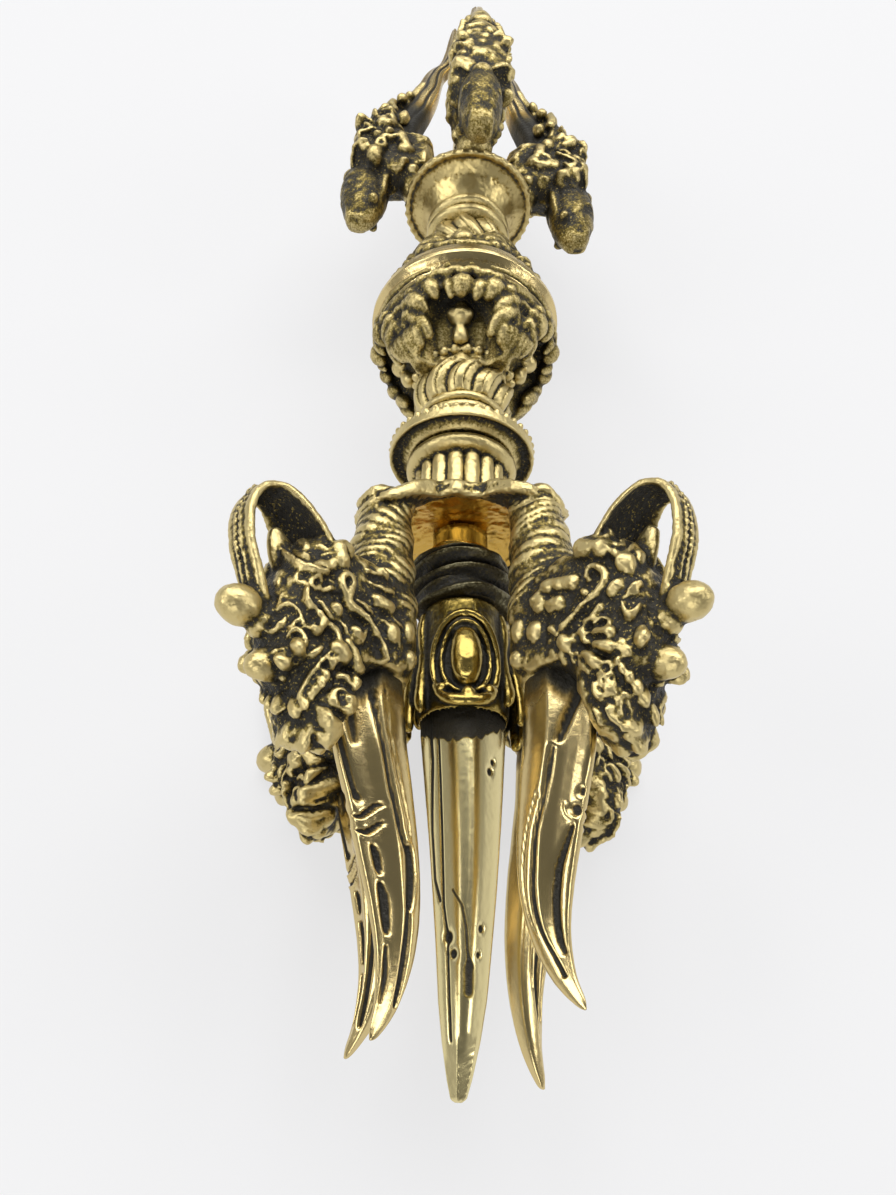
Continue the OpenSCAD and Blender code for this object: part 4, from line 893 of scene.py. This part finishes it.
# Grooves, notches and small lips of the blade, on its left and right side
left_cuts = [
    (0.6, -0.55, 19.2, 76.1, 18.4, 78.3, 17.4, 80.7, 16.6, 82.6), (0.7, -0.4, 16.4, 82.7, 16.3, 82.8),
    (0.9, -0.3, 18.8, 72.5, 18, 74.6, 17.4, 77), (0.25, -0.35, 19.6, 77.6, 19.2, 79.3, 19.3, 81),
    (0.5, -0.5, 16.5, 71.5, 15.5, 75.2, 14.5, 78.3, 13.6, 81.3, 12.7, 83.7, 12, 85.7, 11.1, 87.5),
    (0.95, -0.6, 10.7, 87.2, 10.2, 89.8, 10.2, 92.8),
    (0.55, -0.5, 10.4, 92.8, 10.4, 95.2, 10.6, 97.5, 10.9, 99.8, 11.4, 102.1),
    (0.2, -0.25, 15.1, 71, 14.5, 74.9, 13.3, 78.5, 12.2, 81.5, 11.1, 84.4, 10.6, 86.2),
    (0.35, -0.55, 17.1, 84.4, 16, 84.7, 14.6, 83.4, 14.1, 83.3), (0.35, -0.55, 16.1, 86, 15.1, 86.1, 13.8, 85),
    (0.35, 0.3, 16.7, 84.9, 15.7, 85.1, 14.2, 83.9), (0.35, 0.3, 15.8, 86.5, 14.8, 86.6, 13.7, 85.6),
    (0.55, -0.65, 14.3, 87.4, 13.7, 88.6, 13.4, 89.8), (0.6, -0.65, 13.2, 91, 12.6, 92.7, 12.2, 95.4),
    (0.4, -0.4, 12.2, 96.8, 12.2, 99.5, 12.7, 101.8)]
right_cuts = [
    (0.55, -0.5, 19.1, 69.2, 18.1, 72.2, 16.9, 74.7, 15.9, 77),
    (0.45, -0.45, 15.3, 77.6, 14.5, 80.2, 13.4, 83.3, 12.1, 86.3, 11.2, 89.5, 10.5, 92.6, 10.4, 95.3, 10.8, 97.4,
      11.5, 99.6, 12.2, 101.8), (0.2, -0.25, 13.2, 82.1, 11, 86.1, 9.6, 90.2, 9.4, 94, 10, 96.8),
    (0.7, -0.65, 21.2, 70.1, 21, 74.4, 19.9, 77.9, 18.7, 80.1, 18.1, 81.8), (0.6, -0.6, 17.2, 82.6, 17.1, 82.9),
    (0.75, -0.6, 16.2, 84.5, 16.2, 84.8), (0.35, 0.3, 15.3, 83.8, 15.3, 84.9, 15.9, 85.6),
    (0.55, -0.55, 15.4, 86.3, 14.4, 88.2, 13.4, 90.2, 12.7, 92.5, 12.2, 95.1, 12.1, 97.7, 12.4, 99.3)]


def placed(p, turn):
    """A prong's own frame (x across, out, along) turned round the axis by an angle in degrees."""
    c, k = np.cos(np.radians(turn)), np.sin(np.radians(turn))
    return np.stack([p[..., 0] * c + p[..., 1] * k, p[..., 1] * c - p[..., 0] * k, p[..., 2]], -1)


def prong(name, head, p, soot_and_shade, put, rough, rub=0.66, calm=1.0, dim=0.0, **tone):
    """Head and blade as one piece: the head in patinated brass, darker by dim, and the blade polished and darkened
    by soot in its cuts and by painted shade on its hollow. The wear of the blade is rub where it is flat, and that of
    the head varies by calm about 0.45."""
    shell = gather([head, skin(p)])
    plain = np.zeros(len(head[0]))
    is_blade = np.concatenate([plain, np.ones(p.shape[0] * p.shape[1] + 2)])
    soot_and_shade = np.concatenate([plain + dim, soot_and_shade.ravel(), [1, 0]])
    picks = is_blade[np.concatenate([shell[1][:, 0], shell[2][:, 0]])]

    def worn(w):
        return np.where(is_blade > 0, rub + 0.3 * (w - 0.5) - 0.85 * soot_and_shade, 0.45 + calm * (w - 0.45) - soot_and_shade)

    make(name, put, shell, [carved, polished], rub=worn, picks=picks,
         rough=np.where(is_blade > 0, 0.3, rough), **tone)


blade_rows = [[15.4, 66.0, 3.6, 3.0], [15.4, 71.0, 4.2, 3.2], [14.9, 76.0, 4.3, 3.1], [13.6, 81.0, 4.0, 2.9],
              [12.2, 86.5, 3.6, 2.55], [11.1, 92.0, 3.0, 2.1], [10.9, 97.0, 2.2, 1.6], [11.8, 101.5, 1.3, 1.05],
              [13.2, 104.4, 0.6, 0.5], [13.7, 105.2, 0.15, 0.15]]
straight, v = blade(blade_rows, 240, 96)
side = np.sin(v) + 0 * straight[..., 0]
cuts = [carve(straight[..., 1:], [(0.72 * w, h, *line) for w, h, *line in strokes])
        for strokes in (left_cuts, right_cuts)]
cuts = np.where(side > 0, *cuts) * np.abs(side) ** 0.3
cuts = np.maximum(cuts, -0.55 * np.abs(straight[..., 0]))
straight[..., 0] += np.sign(side) * cuts
soot_and_shade = np.clip(np.maximum((-cuts - 0.1) / 0.22, 1.1 * (75 - straight[..., 2]) / 5), 0, 1)
# The hollow towards the outer edge is painted darker than the flat face: painted shade on the face that turns from
# the light
soot_and_shade = np.maximum(soot_and_shade, 0.3 * np.clip((np.cos(v) - 0.15) / 0.15, 0, 1) * np.clip((0.85 - np.cos(v)) / 0.1, 0, 1))
# Change of each prong's blade from the common form: outwards and along at the tip, and sideways
tips = {"upper_left": (-0.6, -0.3, 0.3), "upper_right": (1.4, -2.6, 0.0),
        "lower_right": (-2.6, 2.6, 0.0), "lower_left": (2.6, -0.6, 0.0)}
for (name, (out, on, across)), turn in zip(tips.items(), turns_of_prongs):
    f = np.clip((straight[..., 2] - 76) / 29, 0, 1)
    bent = straight + np.stack([across * f ** 2, out * f ** 1.6, on * f ** 1.5], -1)
    prong("near_prong_" + name, head, bent, soot_and_shade, lambda p: wide_claw(placed(p, turn)), 1.6, start=0.37)

# FLANGE OF THE SLIM CLAW. A cast disc that flares like a trumpet from the neck rings. Its edge is scalloped,
# and the four small prongs stand on its back. Its brass is satin, dulled by handling.
# Satin brass spreads its reflections wide, with a few brown patches
satin = brass("satin_worn_brass", "#cdb97f", "#8a7238", 0.36, 0.3, 0.1)


def trumpet(z, a):
    """Radius 5.9 at the rings, opening as the power 1.3 of the distance to 11.2 at the scalloped edge."""
    u = np.clip((z - 25.2) / 4.4, 0, 1)
    return 5.9 + 5.3 * u ** 1.3 - 0.12 * np.abs(np.sin(18 * a)) * np.clip((z - 28.6) / 0.8, 0, 1)


flare = turned(25.2, 31.2, trumpet, 60, 480, bore, 0.7)
r = np.hypot(flare[..., 0], flare[..., 1])
scoop = np.clip((r - 6.6) / 1.5, 0, 1) * np.clip((10.9 - r) / 0.8, 0, 1) * (flare[..., 2] < 29.8)
flare[..., 2] += 0.9 * scoop
rim_beads = spun([ball(on_side(10.95, 0, 30.0), 0.45, (1, 1, 1.3), 10)], 40)
far_flange = fused([skin(flare, True)] + rim_beads, 0.22)
make("far_flange", far, far_flange, [satin], start=0.6, rough=1.2)

# SPIKE OF THE SLIM CLAW. A thinner cast spike that is seen only between the prongs.
z = np.linspace(31.3, 97.2, 220)[:, None]
a = circle(96)[None, :]
girth = np.interp(z, [31.2, 44, 60, 73, 84, 92.6, 96.6, 97.2], [3.28, 3.15, 2.62, 1.95, 1.55, 1.0, 0.4, 0.1])
r = girth * (1 + 0.05 * np.cos(4 * a)) + 0.25 * np.exp(-((z - 36) / 0.5) ** 2) * (girth > 2)
make("far_spike", far, skin(round_axis(r, a, z)), [polished], start=0.6)

# PRONGS OF THE SLIM CLAW. Smaller castings of the same head at 0.8 of its size, worn soft and dark. The trunk hangs
# back over the flange as a thick lobe, and the blade closes on the spike.
bold = [[(1.5 * w, 1.1 * h, *line) for w, h, *line in strokes if w > 0.45] for strokes in (left_cheek, right_cheek)]
lumps = skin(np.concatenate([cheek(bold[0], 1, 5), cheek(bold[1], -1, 6)[::-1]]))
small = [strand([(0, 8.2, 30.6), (0, 9.0, 33.6), (0, 10.4, 37.0), (0, 12.4, 40.0)],
                [2.9, 3.0, 3.3, 3.6], [2.9, 3.2, 3.6, 4.0], 24),
         strand([(0, 8.9, 34.6), (0, 9.1, 35.3)], 3.5, 3.7, 24),
         strand([(0, 9.9, 36.6), (0, 10.1, 37.2)], 3.7, 4.0, 24),
         ((lumps[0] - (0, 23, 69)) * (0.95, 0.8, 0.82) + (0, 16.6, 45.6), lumps[1], lumps[2]),
         ball((0, 14.6, 52.6), 1, (3.0, 2.6, 4.6), 16), ball((0, 18.6, 30.4), 1, (3.6, 4.1, 8.3), 24),
         strand([(0, 14.8, 55.4), (0, 12.0, 61.0), (0, 10.2, 64.6), (0, 8.9, 67.4)],
                [2.4, 1.6, 1.2, 1.6], [2.4, 1.8, 1.5, 1.8], 18),
         hood([[14.6, 37.4, 3.0, 1.3, 0], [15.2, 32.6, 2.7, 1.3, 0], [16.0, 28.2, 2.4, 1.3, 0],
               [17.2, 25.0, 2.1, 1.4, 0], [18.9, 23.6, 2.0, 1.5, 0], [20.4, 24.8, 1.9, 1.4, 0],
               [21.0, 27.8, 1.8, 1.3, 0], [20.7, 32.0, 1.8, 1.3, 0], [19.8, 35.6, 1.8, 1.3, 0],
               [18.4, 38.6, 1.8, 1.4, 0]], 60, 30),
         ball((0, 20.9, 35.4), 1.8, turns=16), strand([(0, 18.4, 43.0), (0, 21.6, 45.6)], [2.0, 1.3])]
for way in (-1, 1):
    small += [strand(np.array(line) * (way, 1, 1), size) for line, size in [
        ([(4.0, 11.0, 38.6), (4.4, 12.2, 41.6), (4.2, 13.0, 44.6)], [0.8, 1.1, 0.8]),
        ([(3.9, 14.4, 51.0), (3.5, 15.2, 53.6), (2.8, 14.8, 56.6)], [1.0, 1.0, 0.8])]]
    small += [ball((way * x, r, z), s) for x, r, z, s in [
        (3.0, 10.2, 35.2, 1.2), (3.0, 16.6, 26.6, 0.9), (2.4, 20.9, 30.4, 0.9), (3.6, 12.6, 50.2, 1.2),
        (2.8, 13.4, 57.4, 1.1), (2.0, 12.0, 60.6, 0.9)]]
at, quads, tris = fused(small, 0.28, 2)
push = at - (0, 15, 44)
push /= np.linalg.norm(push, axis=1)[:, None]
small_head = at + push * (0.45 * grain(at, 2.6, 8) + 0.22 * grain(at, 1.2, 9))[:, None], quads, tris
# The lobe of the trunk has stayed dark, because no hand reaches it
lobe = 0.22 * np.clip((37 - at[:, 2]) / 3, 0, 1) * np.clip((at[:, 1] - 13.5) / 2, 0, 1)
small_rows = [[13.6, 46.0, 3.2, 2.8], [12.9, 52.0, 3.4, 2.9], [10.8, 58.0, 3.1, 2.6], [8.9, 63.8, 2.5, 2.35],
              [7.4, 71.0, 1.9, 1.9], [5.4, 75.0, 1.4, 1.6], [4.5, 80.0, 1.15, 1.4], [4.1, 85.0, 0.95, 1.1],
              [3.9, 89.4, 0.5, 0.7], [3.85, 90.1, 0.2, 0.25]]
straight, v = blade(small_rows, 150, 64)
s, z = np.cos(v), straight[..., 2]
cuts = 0.35 * np.exp(-((s - 0.1 + 0.05 * np.sin(z)) / 0.12) ** 2) * np.clip((84 - z) / 4, 0, 1)
cuts += 0.2 * np.exp(-((s + 0.55 + 0.05 * np.sin(z * 0.7)) / 0.1) ** 2) * np.clip((80 - z) / 4, 0, 1)
straight[..., 0] *= 1 - np.clip(cuts / np.maximum(np.abs(straight[..., 0]), 0.5), 0, 0.5)
soot_and_shade = np.clip(np.maximum(cuts / 0.3, (60 - z) / 8), 0, 1)
# The top prong stands further open than the rest from its mouth on: 5 mm more at z 64, closing again to 1 mm at
# its tip
for name, turn, open_by in zip(("top", "right", "bottom", "left"), (1.5, 91.5, 181.5, 271.5), (5.0, 0, 0, 0)):
    def spread(p):
        f, g = np.clip((p[..., 2] - 46) / 18, 0, 1), np.clip((p[..., 2] - 68) / 22, 0, 1)
        more = open_by * f * f * (3 - 2 * f) * (1 - 0.8 * g * g * (3 - 2 * g))
        return far(placed(p + more[..., None] * np.array([0, 1, 0]), turn))

    prong("far_prong_" + name, small_head, straight, soot_and_shade, spread, 1.4, rub=0.12, calm=0.6, dim=lobe, start=0.26)

# BENCH. A plain pale floor under soft studio lamps, with the camera where the photograph was taken from.
# The floor shows pale to the camera and in the metal, and keeps the shadow of the object.
paper = bpy.data.materials.new("pale_studio_floor")
tree = blank(paper)
matt = add(tree, "BsdfDiffuse", Color=linear("#e4e4e5")).outputs[0]
glow = add(tree, "Emission", Color=linear("#f3f3f4"), Strength=1.0).outputs[0]
path = add(tree, "LightPath").outputs
seen = add(tree, "Math", {"operation": "MAXIMUM"}, i0=path["Is Camera Ray"], i1=path["Is Glossy Ray"]).outputs[0]
seen = add(tree, "Math", {"operation": "MAXIMUM"}, i0=seen, i1=path["Is Transmission Ray"]).outputs[0]
mixed = add(tree, "MixShader", i0=0.72, i1=matt, i2=glow).outputs[0]
add(tree, "OutputMaterial", Surface=add(tree, "MixShader", i0=seen, i1=matt, i2=mixed).outputs[0])
floor_mesh = bpy.data.meshes.new("floor")
floor_mesh.from_pydata([(-4, -4, -0.0001), (4, -4, -0.0001), (4, 4, -0.0001), (-4, 4, -0.0001)], [], [(0, 1, 2, 3)])
floor_mesh.materials.append(paper)
floor = link(bpy.data.objects.new("floor", floor_mesh))

world = bpy.data.worlds.new("studio")
bpy.context.scene.world = world
tree = blank(world)
up = add(tree, "SeparateXYZ", Vector=add(tree, "TexCoord").outputs["Generated"]).outputs["Z"]
greys = [(0.0, linear("#8f8f92")), (0.25, linear("#c8c8c8")), (0.5, linear("#8c8c8c")), (1.0, linear("#707070"))]
sky = add(tree, "ValToRGB", {"stops": greys}, Fac=up).outputs[0]
lit = add(tree, "Background", Color=sky, Strength=0.8).outputs[0]
pale = add(tree, "Background", Color=linear("#eeeeef"), Strength=1.0).outputs[0]
seen = add(tree, "LightPath").outputs["Is Camera Ray"]
add(tree, "OutputWorld", Surface=add(tree, "MixShader", i0=seen, i1=lit, i2=pale).outputs[0])

for name, spot, size, power in (("overhead", (0.05, 0.62, 0.9), (1.7, 0.75), 15.0),
                                ("left", (-0.9, -0.2, 0.7), (0.5, 0.5), 3.6),
                                ("right", (0.85, -0.1, 0.5), (0.3, 0.3), 1.5),
                                ("front", (-0.15, -0.75, 0.45), (0.5, 0.4), 1.6)):
    lamp = bpy.data.lights.new(name, "AREA")
    lamp.shape, lamp.size, lamp.size_y, lamp.energy = "RECTANGLE", *size, power
    held = link(bpy.data.objects.new(name, lamp))
    held.location = spot
    held.rotation_euler = mathutils.Vector(spot).to_track_quat("Z", "Y").to_euler()

eye = bpy.data.cameras.new("camera")
eye.sensor_fit, eye.sensor_height, eye.sensor_width, eye.lens = "VERTICAL", 36.0, 27.0, 27.85
eye.clip_start = 0.005
camera = link(bpy.data.objects.new("camera", eye))
look = np.array([0.0370, 0.5306, -0.8468])
right = np.array([0.9977, 0.0279, 0.0610])
up = np.cross(right, look)
turn = mathutils.Matrix(np.stack([right, up, -look], 1).tolist())
place = hub + [-5.76, -115.6, 102.4]
camera.matrix_world = mathutils.Matrix.Translation(place / 1000) @ turn.to_4x4()
bpy.context.scene.camera = camera
bpy.context.scene.view_settings.view_transform = "Standard"
